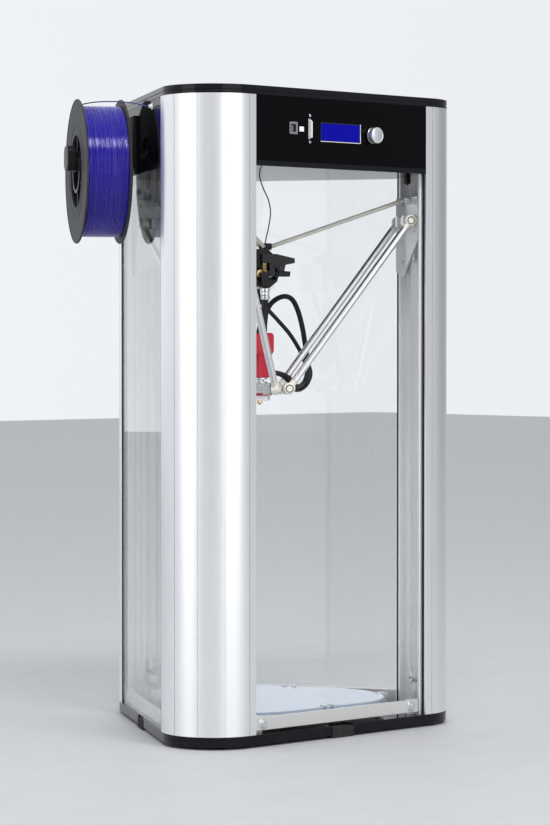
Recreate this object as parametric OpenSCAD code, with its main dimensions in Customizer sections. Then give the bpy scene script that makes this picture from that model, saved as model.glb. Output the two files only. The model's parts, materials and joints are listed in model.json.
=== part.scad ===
// Delta 3D printer: three curved corner columns between a base plate and a top box,
// three carriages on belts, an effector on three pairs of arms, a hanging extruder
// and a filament spool beside the top box. Millimetres, +Z up, origin on the floor
// under the middle of the whole machine.

/* [Frame] */
// Distance between the centres of two corner columns
tri_side = 340; // [330:1:350]
// Outer radius of a corner column
corner_r = 70; // [69:0.5:72]
// Wall of a corner column
column_wall = 3; // [2.5:0.5:3.5]
// Flat lip of a column beside its curve
lip_len = 12; // [11:0.5:13]
// Overall height
total_h = 870; // [868:1:880]
// Gap between the floor and the base plate
foot_drop = 3.5; // [2:0.5:4]
// Top of the base plate
base_top = 17; // [16:0.5:17]
// Thickness of the top plate
top_t = 12; // [10:1:12]
// Underside of the ceiling plate
ceiling_z = 765; // [764:1:766]
// Thickness of the ceiling plate
ceiling_t = 7; // [6:0.5:7]
// Thickness of a fascia
fascia_t = 3; // [2:0.5:3]
// Height of a cross bar
bar_h = 17.5; // [16:0.5:18]

/* [Towers] */
// Front of the guide rails, from the machine's axis
rail_front = 214; // [213.5:0.5:214]
// Width over the two rails
rail_w = 112; // [112:1:114]
// Width of one rail
rail_side = 8; // [8:0.5:9]
// Pitch height of the drive pulleys
pulley_z = 815; // [810:1:816]
// Height of the idler pulleys
idler_z = 63; // [62:1:66]
// Radius of the pulley drums
drum_r = 6; // [5.8:0.1:6.1]
// Body size of a drive motor
motor_w = 42; // [40:1:42]
// Length of a drive motor
motor_len = 28; // [24:1:28]

/* [Carriages and arms] */
// Height of the upper joint axles at rest
carriage_z = 702; // [702:1:702]
// Upper joint axle, from the machine's axis
joint_u = 207; // [207:1:207]
// Height of the effector joint axles at rest
effector_z = 469; // [469:1:469]
// Effector joint axle, from the machine's axis
effector_u = 34; // [34:1:34]
// Half the distance between the two arms of a pair
arm_half = 34; // [34:0.5:35]
// Diameter of an arm tube
arm_d = 10; // [8:0.5:10]
// Radius of a joint axle
axle_r = 3; // [2.5:0.1:3]

/* [Bed] */
// Distance between the corner centres of the rounded bed
bed_side = 125; // [120:1:126]
// Corner radius of the bed
bed_r = 104; // [100:1:104]
// Underside of the bed plate
bed_z = 29; // [28:0.5:30]

/* [Spool] */
// Diameter of the spool flanges
spool_d = 200; // [190:1:200]
// Width of the spool
spool_w = 63.5; // [60:0.5:64]
// Height of the spool's axis
spool_z = 769.5; // [766:0.5:770]
// Gap between the fascia and the spool
spool_gap = 17; // [16:0.5:18]
// Diameter of the filament winding
winding_d = 182; // [150:1:182]

/* [Controls] */
// Diameter of the control knob
knob_d = 22; // [18:1:24]
// How far the knob stands out of the front
knob_out = 12; // [12:0.5:14]

/* [Hidden] */
$fn = 64;

// Directions of the towers a, b, c and of the front, rear and left faces.
TOWERS = [210, 330, 90];
FACES = [270, 30, 150];
FRONT = 0;
REAR = 1;
LEFT = 2;
TOWER_B = 1;

// Distances from the machine's axis.
column_u = tri_side / sqrt(3);
face_d = tri_side / (2 * sqrt(3)) + corner_r;
fascia_d = face_d - 0.5;
lip_end = tri_side / 2 - lip_len;
panel_half = lip_end - 4.5;
// The machine's axis in the part's frame, so that the whole box is centred.
axis_y = (face_d + knob_out - column_u - corner_r) / 2;

top_z = total_h - top_t;
rail_back = rail_front + 16.5;
rail_half = rail_w / 2;
web_t = 3;
groove_w = 1;
groove_deep = 0.8;
web_front = rail_back - web_t;
groove_u = rail_front + 5;
plate_u = joint_u + 8.5;
plate_t = 2.5;
slider_u = plate_u + plate_t;
belt_u = rail_front + 4.5;
belt_w = 6;
belt_in = drum_r + 0.3;
belt_t = 1.4;
spool_u = face_d + spool_gap;
spool_side = -55;
fit = 0.05;
gap = 0.3;
arm_run = joint_u - effector_u;
arm_rise = carriage_z - effector_z;
arm_len = sqrt(arm_run * arm_run + arm_rise * arm_rise);
arm_tilt = atan2(arm_run, arm_rise);
end_len = 13;
end_r = 8.1;

// Hanging extruder, in the frame of tower b.
filament_u = 8;
gear_u = 1.1;
gear_z = 628;
bearing_u = 13.9;
pivot_u = 27;
pivot_z = 636;
extruder_low = 608;
ring_z = 666;

// Cross bars and bed.
bar_in = face_d - 14;
bar_out = face_d - 8.5;
bar_low = base_top + 3.5;
bar_half = 153;
bolt_v = 138;
bracket_v = 145;
bed_t = 6;
glass_t = 4;
glass_z = bed_z + bed_t;
bed_face = bed_side / (2 * sqrt(3)) + bed_r;
bed_corner = bed_side / sqrt(3) + bed_r;

// Front board and power switch.
board_u = fascia_d - 18;
rocker_u = fascia_d - 5;
rocker_z = 815;
rocker_tip = 7;

// Print head.
nozzle_z = effector_z - 23;
block_low = nozzle_z + 6;
block_high = block_low + 11.5;
sink_top = 530;
shroud_top = 546;
fan_z = 530;
duct_low = block_low + 7;
duct_high = effector_z - 5;

// Cord routes at floor height. The filament's is in the frame of the left face.
FILAMENT_ROUTE = [
    [240, -70, 861], [238, -48, 862.5], [225, -8, 862.5], [205, 35, 860], [188, 74, 855],
    [177, 93, 850.5], [168, 94, 850], [160, 94, 850], [140, 87, 848], [100, 60, 838],
    [55, 33, 815], [15, 8, 792], [0, 0, 776], [0, 0, 762], [-5, 1, 746],
    [-12, 2, 730], [-15, 2, 712], [-12, 1, 690], [-8, 0, 671], [-8, 0, 650], [-8, 0, 632]
];
// The guide tube's route and both cables' routes are in the frame of tower b.
GUIDE_ROUTE = [[8, 0, 608], [8, 0, 590], [4, 0, 566], [0, 0, 548], [0, 0, 530.5]];
CABLE_1 = [
    [9, 10, 546], [10, 12, 560], [14, 17, 577], [25, 25, 590], [42, 36, 597], [56, 44, 593],
    [66, 50, 577], [73, 54, 555], [77, 56, 535], [82, 56, 503], [84, 52, 488], [78, 46, 475],
    [67, 37, 467.5], [56, 26, 467], [50, 18, 472], [42, 10, 481], [34, 5, 487], [25, 2.5, 490],
    [16.4, 1.5, 491]
];
CABLE_2 = [
    [4, 30, 607], [9, 32, 590], [33, 38, 565], [52, 43, 545], [67, 47, 523], [76, 48, 503],
    [77, 43, 488], [71, 35, 477], [62, 22, 472], [54, 9, 472.5], [46, -1, 480], [37, -7, 486],
    [28, -9.5, 489.5], [17.9, -10, 491]
];
CORD_START = 9;
CORD_ROUTE = [[0, 0], [0.25, 16.5], [0.5, 33], [0.75, 49.5], [1, 66]];

// ---- Helpers ----

module at_tower(i) {
    translate([0, axis_y, 0])
        rotate([0, 0, TOWERS[i]])
            children();
}

module at_face(i) {
    translate([0, axis_y, 0])
        rotate([0, 0, FACES[i]])
            children();
}

module each_tower() {
    for (i = [0:2])
        at_tower(i)
            children();
}

// Box from its lowest and its highest corner.
module span(low, high) {
    translate(low)
        cube(high - low);
}

// Cylinder along X, Y or Z that starts at a point.
module rod_x(r, from, to, y, z) {
    translate([from, y, z])
        rotate([0, 90, 0])
            cylinder(r = r, h = to - from);
}

module rod_y(r, from, to, x, z) {
    translate([x, from, z])
        rotate([-90, 0, 0])
            cylinder(r = r, h = to - from);
}

module rod_z(r, from, to, x = 0, y = 0) {
    translate([x, y, from])
        cylinder(r = r, h = to - from);
}

function turn(p, a) = [p[0] * cos(a) - p[1] * sin(a), p[0] * sin(a) + p[1] * cos(a)];

// Triangle with round corners around the machine's axis. Its sides cross the corner
// circles a hair inside them, so that each corner has a clean end.
module rounded_triangle(side, r) {
    reach = side / sqrt(3);
    near = r - 0.02;
    for (a = TOWERS)
        translate(turn([reach, 0], a))
            circle(r = r, $fn = 128);
    polygon([for (a = TOWERS) each [
        turn([reach + near * cos(60), -near * sin(60)], a),
        turn([reach, 0], a),
        turn([reach + near * cos(60), near * sin(60)], a)
    ]]);
}

// Plate with the outline of a rounded triangle.
module tri_plate(side, r, from, to) {
    translate([0, axis_y, from])
        linear_extrude(to - from)
            rounded_triangle(side, r);
}

// Point on a smooth curve through four route points.
function blend(a, b, c, d, t) =
    (2 * b + (c - a) * t + (2 * a - 5 * b + 4 * c - d) * t * t
    + (3 * b - a - 3 * c + d) * t * t * t) / 2;

function smooth(p, steps) = let (last = len(p) - 1) [
    for (i = [0:last - 1], k = [0:steps - 1])
        blend(p[max(i - 1, 0)], p[i], p[i + 1], p[min(i + 2, last)], k / steps),
    p[last]
];

function unit(v) = v / norm(v);

function along(p, i) = unit(p[min(i + 1, len(p) - 1)] - p[max(i - 1, 0)]);

// One side direction for each point, carried along the route without twist.
function sides(p, i, side, out) =
    i == len(p) ? out
    : let (t = along(p, i), s = unit(side - (side * t) * t))
        sides(p, i + 1, s, concat(out, [s]));

// Closed tube along a route.
module tube(route, r, steps, n = 8) {
    p = smooth(route, steps);
    s = sides(p, 0, [0.3, 0.9, 0.4], []);
    last = len(p) - 1;
    points = [
        for (i = [0:last], k = [0:n - 1])
            let (t = along(p, i), a = 360 * k / n)
                p[i] + r * (cos(a) * s[i] + sin(a) * cross(t, s[i]))
    ];
    walls = [
        for (i = [0:last - 1], k = [0:n - 1])
            let (k2 = (k + 1) % n)
                [i * n + k, (i + 1) * n + k, (i + 1) * n + k2, i * n + k2]
    ];
    low = [for (k = [0:n - 1]) k];
    high = [for (k = [n - 1:-1:0]) last * n + k];
    polyhedron(points, concat([low], walls, [high]), convexity = 10);
}

// ---- Frame ----

module base_plate() {
    color([0.03, 0.03, 0.035])
        difference() {
            tri_plate(tri_side, corner_r, foot_drop, base_top);
            for (i = [0:2])
                at_face(i)
                    span([face_d - 18, -20, foot_drop - 1], [face_d + 5, 20, base_top + 1]);
        }
}

// Ribbed rubber block in the middle of each side.
module rubber_feet() {
    foot_len = 39.6;
    ribs = 8;
    color([0.05, 0.05, 0.05])
        for (i = [0:2])
            at_face(i) {
                span([face_d - 17.8, -foot_len / 2, 0], [face_d, foot_len / 2, base_top - 2.5]);
                for (k = [0:ribs - 1])
                    translate([face_d, -foot_len / 2 + 1 + k * (foot_len - 4) / (ribs - 1), 0])
                        cube([1, 2, base_top - 2.5]);
            }
}

// Curved shell over 120 degrees with a flat lip on either side and fine vertical grooves.
module column_shell() {
    h = top_z - base_top;
    difference() {
        translate([column_u, 0, base_top]) {
            rotate([0, 0, -60])
                rotate_extrude(angle = 120, $fn = 128)
                    translate([corner_r - column_wall, 0])
                        square([column_wall, h]);
            for (side = [0, 1])
                mirror([0, side, 0])
                    rotate([0, 0, 60])
                        translate([corner_r - column_wall, 0, 0])
                            cube([column_wall, lip_len, h]);
        }
        for (a = [-60:30:60])
            translate([column_u, 0, base_top])
                rotate([0, 0, a])
                    translate([corner_r - groove_deep, -groove_w / 2, -1])
                        cube([2, groove_w, h + 2]);
    }
}

module corner_columns() {
    color([0.8, 0.81, 0.83])
        each_tower()
            column_shell();
}

// Extruded guide: two rails with grooves, joined by a web behind the belt.
module tower_rails() {
    inner = rail_half - rail_side;
    color([0.75, 0.76, 0.78])
        each_tower()
            difference() {
                span([rail_front, -rail_half, base_top], [rail_back, rail_half, top_z]);
                span([rail_front - 1, -inner, base_top - 1], [web_front, inner, top_z + 1]);
                for (side = [0, 1])
                    mirror([0, side, 0]) {
                        span([groove_u, inner - 1, base_top - 1], [groove_u + 3, inner + 3, top_z + 1]);
                        span([rail_front - 1, inner + 4.5, base_top - 1],
                             [rail_front + 1, inner + 5.7, top_z + 1]);
                    }
                rod_x(11.5, web_front - 1, rail_back + 1, 0, pulley_z);
            }
}

// Two sheets with a narrow joint line between them.
module top_plate() {
    color([0.02, 0.02, 0.025]) {
        tri_plate(tri_side, corner_r, top_z, top_z + 4);
        tri_plate(tri_side, corner_r - 0.8, top_z + 4, top_z + 5);
        tri_plate(tri_side, corner_r, top_z + 5, total_h);
    }
}

// Blank of a fascia between two columns.
module fascia_blank() {
    span([fascia_d - fascia_t, -lip_end + 0.3, ceiling_z + ceiling_t],
         [fascia_d, lip_end - 0.3, top_z]);
}

module front_fascia() {
    color([0.01, 0.01, 0.012])
        difference() {
            at_face(FRONT)
                fascia_blank();
            at_face(FRONT) {
                span([fascia_d - 5, -42, 801], [fascia_d + 1, 33, 827.5]);
                span([fascia_d - 5, -64.5, 803], [fascia_d + 1, -59.5, 831]);
                span([fascia_d - 5, -81, 812.3], [fascia_d + 1, -72, 820]);
                span([fascia_d - 5, -99, 808.5], [fascia_d + 1, -83.5, 825.5]);
                rod_x(3.8, fascia_d - 5, fascia_d + 1, 53, 813);
            }
        }
}

module side_fascias() {
    color([0.01, 0.01, 0.012]) {
        difference() {
            at_face(REAR)
                fascia_blank();
            at_face(REAR)
                span([fascia_d - 5, 33, 799], [fascia_d + 1, 87, 831]);
        }
        difference() {
            at_face(LEFT)
                fascia_blank();
            at_face(LEFT)
                rod_x(4.2, fascia_d - 5, fascia_d + 1, 94, 850);
        }
    }
}

// Plate under the top box, cut back at each tower for rails and belts.
module ceiling_plate() {
    notch = rail_front - 1;
    half = rail_half + 2;
    edge = [
        face_d * cos(60) + (lip_end - 0.5) * sin(60),
        face_d * sin(60) - (lip_end - 0.5) * cos(60)
    ];
    color([0.02, 0.02, 0.025])
        difference() {
            translate([0, axis_y, ceiling_z])
                linear_extrude(ceiling_t)
                    polygon([for (a = TOWERS) each [
                        turn([edge[0], -edge[1]], a), turn([notch, -half], a),
                        turn([notch, half], a), turn(edge, a)
                    ]]);
            translate([0, axis_y, ceiling_z - 1])
                cylinder(r = 2.5, h = ceiling_t + 2);
        }
}

// Clear panels of the left face and of the rear face.
module side_panels() {
    color([0.85, 0.9, 0.92, 0.3])
        for (i = [REAR, LEFT])
            at_face(i)
                span([face_d - 6, -panel_half, base_top + 0.3],
                     [face_d - 2, panel_half, ceiling_z - 0.3]);
}

module panel_seals() {
    color([0.04, 0.04, 0.045])
        for (i = [REAR, LEFT], side = [-1, 1])
            at_face(i)
                translate([face_d - 7.5, side < 0 ? -lip_end + 0.2 : panel_half + 0.1, base_top + 0.3])
                    cube([7, 4.2, ceiling_z - base_top - 0.6]);
}

module cross_bars() {
    color([0.78, 0.79, 0.8])
        for (i = [0:2])
            at_face(i)
                difference() {
                    span([bar_in, -bar_half, bar_low], [bar_out, bar_half, bar_low + bar_h]);
                    for (side = [-1, 1])
                        rod_x(3.2, bar_in - 1, bar_out + 1, side * bolt_v, bar_low + 8.5);
                }
}

// A bolt and its corner bracket at each end of each cross bar.
module bar_fixings() {
    color([0.6, 0.61, 0.62])
        for (i = [0:2], side = [-1, 1])
            at_face(i) {
                bolt_y = side * bolt_v;
                rod_x(3, bar_in - 3, bar_out, bolt_y, bar_low + 8.5);
                translate([bar_out, bolt_y, bar_low + 8.5])
                    rotate([0, 90, 0])
                        cylinder(r = 5.5, h = 1, $fn = 32);
                translate([bar_out + 1, bolt_y, bar_low + 8.5])
                    rotate([0, 90, 0])
                        cylinder(r = 5, h = 1, $fn = 6);
                difference() {
                    span([bar_in - 3, side * bracket_v - 10, base_top],
                         [bar_in - 0.05, side * bracket_v + 10, bar_low + bar_h + 0.5]);
                    rod_x(3, bar_in - 4, bar_in + 1, bolt_y, bar_low + 8.5);
                }
            }
}

// ---- Bed ----

module bed_plate() {
    color([0.7, 0.71, 0.73])
        tri_plate(bed_side, bed_r, bed_z, glass_z);
}

module bed_glass() {
    color([0.75, 0.85, 0.92, 0.5])
        tri_plate(bed_side, bed_r - 1, glass_z, glass_z + glass_t);
}

// Clamp that carries the edge of the bed and holds the glass down.
module bed_clamp(edge) {
    span([edge + 0.5, -9, base_top], [edge + 5, 9, glass_z + glass_t + 2.5]);
    span([edge - 9, -9, glass_z + glass_t], [edge + 0.5, 9, glass_z + glass_t + 2.5]);
    span([edge - 9, -9, base_top], [edge + 0.5, 9, bed_z]);
}

module bed_clamps() {
    color([0.1, 0.1, 0.1]) {
        for (i = [0:2])
            at_face(i)
                bed_clamp(bed_face);
        each_tower()
            bed_clamp(bed_corner);
    }
}

// ---- Top box ----

// Liquid crystal module with its window in the fascia's opening.
module display() {
    color([0.05, 0.12, 0.75])
        at_face(FRONT) {
            span([board_u + 5, -46, 797.5], [fascia_d - fascia_t - 0.1, 37, 831]);
            span([fascia_d - fascia_t - 0.1, -41.7, 801.3], [fascia_d - 0.8, 32.7, 827.2]);
        }
}

// Board behind the front fascia, with encoder, card slot, status window and data socket.
module control_board() {
    color([0.1, 0.3, 0.15])
        at_face(FRONT)
            difference() {
                union() {
                    span([board_u, -105, 793], [board_u + 1.6, 70, 835]);
                    span([board_u + 1.6, 46.5, 806.5], [board_u + 8, 59.5, 819.5]);
                    rod_x(3.5, board_u + 8, fascia_d - 0.5, 53, 813);
                    span([board_u - 3, -64.3, 803.5], [fascia_d - 1, -59.7, 830.5]);
                    span([board_u + 1.6, -80.5, 812.8], [fascia_d + 0.2, -72.5, 819.5]);
                    span([board_u + 1.6, -98.5, 809], [fascia_d + 0.4, -84, 825]);
                }
                rod_x(axle_r + fit, board_u + 2, fascia_d + 1, 53, 813);
                span([board_u - 2, -63.3, 804.8], [fascia_d + 1, -60.7, 829.2]);
                span([fascia_d - 9, -95.5, 812], [fascia_d + 1, -87, 822]);
            }
}

module memory_card() {
    color([0.92, 0.92, 0.93])
        at_face(FRONT)
            span([board_u - 1.6, -63.05, 805], [fascia_d + 4.5, -60.95, 829]);
}

module encoder_shaft() {
    color([0.7, 0.7, 0.72])
        at_face(FRONT)
            rod_x(axle_r, board_u + 3.5, fascia_d + 9.5, 53, 813);
}

module control_knob() {
    start = fascia_d + 1.6;
    color([0.82, 0.82, 0.84])
        at_face(FRONT)
            difference() {
                union() {
                    rod_x(knob_d / 2, start, face_d + knob_out - 1, 53, 813);
                    rod_x(knob_d / 2 - 1, face_d + knob_out - 1, face_d + knob_out, 53, 813);
                }
                rod_x(axle_r + fit, start - 1, fascia_d + 9.8, 53, 813);
            }
}

module mainboard() {
    low = ceiling_z + ceiling_t;
    color([0.1, 0.35, 0.2])
        translate([0, axis_y, 0]) {
            span([-50, -115, low + 5], [70, -35, low + 7]);
            for (x = [-45, 65], y = [-110, -40])
                rod_z(3, low, low + 5, x, y);
            for (x = [-32, -4, 24])
                span([x, -70, low + 7], [x + 16, -54, low + 22]);
            span([-44, -108, low + 7], [60, -96, low + 17]);
        }
}

module power_supply() {
    low = ceiling_z + ceiling_t;
    color([0.65, 0.66, 0.68])
        translate([0, axis_y, 0])
            span([-75, 30, low], [75, 120, low + 42]);
}

module power_inlet() {
    color([0.06, 0.06, 0.065])
        at_face(REAR)
            difference() {
                union() {
                    span([fascia_d - 28, 34, 800], [fascia_d, 86, 830]);
                    span([fascia_d, 31, 797], [fascia_d + 2.5, 89, 833]);
                }
                span([fascia_d - 18, 58, 806], [fascia_d + 4, 83, 824]);
                span([fascia_d - 18, 37, 804], [fascia_d + 4, 51, 826]);
                rod_y(1.5, 35.5, 52.5, rocker_u, rocker_z);
            }
}

// Rocker that tips on its own pin between on and off.
module power_rocker() {
    color([0.7, 0.05, 0.05])
        at_face(REAR)
            translate([rocker_u, 44, rocker_z])
                rotate([0, rocker_tip, 0]) {
                    span([-4, -6, -6], [8, 6, 6]);
                    span([3, -6, -9], [8.5, 6, 9]);
                    for (side = [0, 1])
                        mirror([0, side, 0])
                            rod_y(1.45, 6, 8, 0, 0);
                }
}

// ---- Drives ----

module drive_motors() {
    w = motor_w / 2;
    color([0.12, 0.12, 0.13])
        each_tower()
            difference() {
                union() {
                    span([rail_back, -w, pulley_z - w], [rail_back + motor_len, w, pulley_z + w]);
                    rod_x(11, rail_back - 2, rail_back, 0, pulley_z);
                }
                rod_x(2.5 + fit, rail_back - 3, rail_back + 16, 0, pulley_z);
            }
}

// Flanged drum for the belt.
module belt_drum(z) {
    rod_x(drum_r, belt_u, belt_u + belt_w, 0, z);
    rod_x(drum_r + 2.6, belt_u - 1.3, belt_u - 0.3, 0, z);
    rod_x(drum_r, belt_u - 0.3, belt_u, 0, z);
    rod_x(drum_r, belt_u + belt_w, belt_u + belt_w + 0.3, 0, z);
    rod_x(drum_r + 2.6, belt_u + belt_w + 0.3, belt_u + belt_w + 1.3, 0, z);
}

module drive_pulley(i) {
    color([0.72, 0.72, 0.74])
        at_tower(i) {
            belt_drum(pulley_z);
            rod_x(2.5, belt_u - 3, belt_u - 1.3, 0, pulley_z);
            rod_x(2.5, belt_u + belt_w + 1.3, rail_back + 15, 0, pulley_z);
        }
}

module idler_pulley(i) {
    color([0.72, 0.72, 0.74])
        at_tower(i)
            difference() {
                belt_drum(idler_z);
                rod_x(2.5 + fit, belt_u - 2, belt_u + belt_w + 2, 0, idler_z);
            }
}

// Axle plate of an idler pulley, with a tension block below it.
module idler_brackets() {
    color([0.85, 0.85, 0.86])
        each_tower() {
            span([web_front - 1.2, -13, idler_z - 22], [web_front, 13, idler_z + 13]);
            rod_x(2.5, belt_u - 3, web_front - 1.2, 0, idler_z);
            rod_x(4.5, belt_u - 3.6, belt_u - 1.7, 0, idler_z);
            span([web_front - 7, -6, idler_z - 22], [web_front - 1.2, 6, idler_z - 11]);
        }
}

module drive_belts() {
    r_out = belt_in + belt_t;
    color([0.1, 0.1, 0.1])
        each_tower() {
            for (side = [-1, 1])
                translate([belt_u, side * (belt_in + belt_t / 2) - belt_t / 2, idler_z])
                    cube([belt_w, belt_t, pulley_z - idler_z]);
            for (end = [[pulley_z, 0], [idler_z, 180]])
                translate([belt_u, 0, end[0]])
                    rotate([end[1], 0, 0])
                        rotate([90, 0, 90])
                            rotate_extrude(angle = 180)
                                translate([belt_in, 0])
                                    square([belt_t, belt_w]);
        }
}

// Switch that the carriage meets at the top of its travel.
module endstops() {
    color([0.15, 0.15, 0.16])
        each_tower() {
            span([web_front - 8, rail_half - 20, 757], [web_front, rail_half - 9, 769]);
            span([web_front - 6, rail_half - 16, 755.5], [web_front - 3, rail_half - 13, 757]);
        }
}

// ---- Spool ----

module spool_holder() {
    color([0.05, 0.05, 0.055])
        at_face(LEFT) {
            span([fascia_d, spool_side - 30, ceiling_z + 8], [fascia_d + 5, spool_side + 30, top_z - 12]);
            rod_x(22, fascia_d + 5, spool_u - 3, spool_side, spool_z + 12);
            rod_x(13.5, spool_u - 3, spool_u + spool_w + 2, spool_side, spool_z + 12);
            rod_x(20, spool_u + spool_w + 2, spool_u + spool_w + 14, spool_side, spool_z + 18);
        }
}

module spool() {
    wide = spool_w;
    flange = 3;
    barrel = 52;
    color([0.12, 0.12, 0.13])
        at_face(LEFT)
            translate([spool_u, spool_side, spool_z])
                rotate([0, 90, 0])
                    rotate_extrude($fn = 128)
                        polygon([
                            [26, 0], [30, 0], [30, wide / 2 - 2], [barrel - 2, wide / 2 - 2],
                            [barrel - 2, 0], [spool_d / 2, 0], [spool_d / 2, flange],
                            [barrel, flange], [barrel, wide - flange], [spool_d / 2, wide - flange],
                            [spool_d / 2, wide], [barrel - 2, wide], [barrel - 2, wide / 2 + 2],
                            [30, wide / 2 + 2], [30, wide], [26, wide]
                        ]);
}

module filament_winding() {
    color([0.05, 0.05, 0.75])
        at_face(LEFT)
            translate([spool_u + 3, spool_side, spool_z])
                rotate([0, 90, 0])
                    rotate_extrude($fn = 128)
                        translate([52, 0])
                            square([winding_d / 2 - 52, spool_w - 6]);
}

module inlet_grommet() {
    color([0.93, 0.93, 0.92])
        at_face(LEFT)
            difference() {
                union() {
                    rod_x(4, fascia_d - 7, fascia_d, 94, 850);
                    rod_x(6, fascia_d, fascia_d + 2, 94, 850);
                    rod_x(3, fascia_d + 2, fascia_d + 7, 94, 850);
                }
                rod_x(1.6, fascia_d - 8, fascia_d + 8, 94, 850);
            }
}

module filament() {
    color([0.1, 0.1, 0.3])
        at_face(LEFT)
            tube(FILAMENT_ROUTE, 0.875, 4);
}

// ---- Carriages and arms ----

// Bent bracket: sloping main plate, side wing and the block that holds the joint axle.
module carriage(i) {
    near = 39;
    far = 43.5;
    top = carriage_z + 34;
    color([0.8, 0.81, 0.82])
        at_tower(i)
            difference() {
                union() {
                    translate([plate_u, 0, 0])
                        rotate([90, 0, 90])
                            linear_extrude(plate_t)
                                polygon([
                                    [-near, top], [-near, carriage_z - 26],
                                    [far, carriage_z - 80], [far, top]
                                ]);
                    span([plate_u - 9, far - 2.5, carriage_z - 76], [slider_u, far, top]);
                    span([joint_u - 7, -22, carriage_z - 8], [plate_u, 22, carriage_z + 8]);
                    span([plate_u - 6, -5, top - 9], [plate_u, 5, top - 1]);
                }
                rod_y(axle_r + fit, -23, far + 1, joint_u, carriage_z);
            }
}

// Sliding shoes in the rail grooves and the clamp around one belt strand.
module carriage_slider(i) {
    inner = rail_half - rail_side;
    strand = belt_in + belt_t / 2;
    // Side, lowest and highest point of each shoe.
    shoes = [[1, -20, 30], [0, -20, 30], [0, -72, -32]];
    color([0.06, 0.06, 0.065])
        at_tower(i) {
            for (shoe = shoes)
                translate([0, 0, carriage_z])
                    mirror([0, shoe[0], 0]) {
                        span([slider_u, inner - 14, shoe[1]], [web_front - 1, inner - gap, shoe[2]]);
                        span([groove_u + gap, inner - gap, shoe[1]],
                             [groove_u + 3 - gap, inner + 3 - gap, shoe[2]]);
                    }
            translate([0, -strand, carriage_z - 45])
                difference() {
                    span([slider_u, -6, -9], [web_front - 1, 4.5, 9]);
                    span([belt_u - gap, -1, -10], [web_front, 1, 10]);
                }
        }
}

// Arm frame: the origin on the lower joint and +Z up along the arm.
module at_arm(side) {
    translate([effector_u, side * arm_half, effector_z])
        rotate([0, arm_tilt, 0])
            children();
}

module arm_tubes() {
    color([0.85, 0.86, 0.87])
        each_tower()
            for (side = [-1, 1])
                at_arm(side)
                    difference() {
                        rod_z(arm_d / 2, end_len, arm_len - end_len);
                        rod_z(arm_d / 2 - 1, end_len - 1, arm_len - end_len + 1);
                    }
}

// Six-sided plastic end with a round cap, on a stem that plugs into the tube.
module rod_end(side) {
    difference() {
        union() {
            rod_y(end_r, -4.5, 4.5, 0, 0, $fn = 6);
            mirror([0, side < 0 ? 1 : 0, 0])
                rod_y(6.2, 4.5, 5.6, 0, 0);
            rod_z(4.6, 5, end_len);
            rod_z(arm_d / 2 - 1 - fit, end_len, end_len + 12);
        }
        rod_y(axle_r + fit, -7, 7, 0, 0);
    }
}

module arm_joints() {
    reach = arm_half + 5.6;
    color([0.9, 0.88, 0.8])
        each_tower() {
            for (side = [-1, 1])
                at_arm(side) {
                    rod_end(side);
                    translate([0, 0, arm_len])
                        rotate([0, 180, 0])
                            rod_end(side);
                }
            rod_y(axle_r, -reach, reach, effector_u, effector_z);
            rod_y(axle_r, -reach, reach + 3.8, joint_u, carriage_z);
        }
}

module effector_plate() {
    color([0.8, 0.81, 0.82])
        difference() {
            union() {
                translate([0, axis_y, 0])
                    rod_z(31, effector_z - 5, effector_z + 1);
                each_tower()
                    span([effector_u - 10, -27, effector_z - 8], [effector_u + 5, 27, effector_z + 8]);
            }
            translate([0, axis_y, 0])
                rod_z(12.5, effector_z - 6, effector_z + 2);
            each_tower()
                rod_y(axle_r + fit, -28, 28, effector_u, effector_z);
        }
}

// ---- Print head ----

// Finned heat sink, heater block with its cartridges, and nozzle.
module hotend() {
    fins = 9;
    pitch = 5.5;
    foot = effector_z + 1;
    color([0.7, 0.68, 0.62])
        at_tower(TOWER_B) {
            rotate_extrude()
                polygon(concat(
                    [[0, block_high], [3, block_high], [3, foot], [14, foot], [14, foot + 3]],
                    [for (k = [0:fins - 1]) each [
                        [6, foot + 3 + k * pitch], [6, foot + 6 + k * pitch],
                        [10.8, foot + 6 + k * pitch], [10.8, foot + 3 + (k + 1) * pitch]
                    ]],
                    [[6, foot + 3 + fins * pitch], [6, sink_top], [0, sink_top]]
                ));
            span([-10, -8, block_low], [10, 8, block_high]);
            rod_x(3, 10, 14, 5.5, block_low + 3);
            rod_x(2.4, 10, 14, -3, block_low + 3);
            rotate_extrude()
                polygon([[0, nozzle_z], [1, nozzle_z], [4, nozzle_z + 3], [4, block_low], [0, block_low]]);
        }
}

// Cover around the heat sink with a fan pocket, and the air duct under the effector.
module fan_shroud() {
    color([0.7, 0.05, 0.08])
        translate([0, axis_y, 0]) {
            difference() {
                union() {
                    span([-12.3, -12.3, 484], [12.3, 12.3, 514]);
                    span([-26, -15.5, 514], [15.5, 15.5, shroud_top]);
                }
                rod_z(11.4, 483, sink_top + 0.5);
                rod_z(4.8, sink_top, shroud_top + 1);
                difference() {
                    rod_x(14, -27, -16, 0, fan_z);
                    rod_x(1.5, -24.5, -15, 0, fan_z);
                }
                span([-17, 3, 520], [-8, 9, 529]);
                span([-17, -9, 520], [-8, -3, 529]);
            }
            difference() {
                rod_z(17, duct_low, duct_high);
                rod_z(14.5, duct_low - 1, duct_high + 1);
            }
        }
}

module fan_rotor() {
    blades = 7;
    color([0.06, 0.06, 0.065])
        translate([0, axis_y, fan_z])
            difference() {
                union() {
                    rod_x(6.5, -24.8, -16.5, 0, 0);
                    for (k = [0:blades - 1])
                        rotate([k * 360 / blades, 0, 0])
                            translate([-20.6, 0, 6])
                                rotate([0, 0, 38])
                                    translate([-4, -0.5, 0])
                                        cube([8, 1, 7.3]);
                }
                rod_x(1.5 + fit, -24.6, -16, 0, 0);
            }
}

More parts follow.
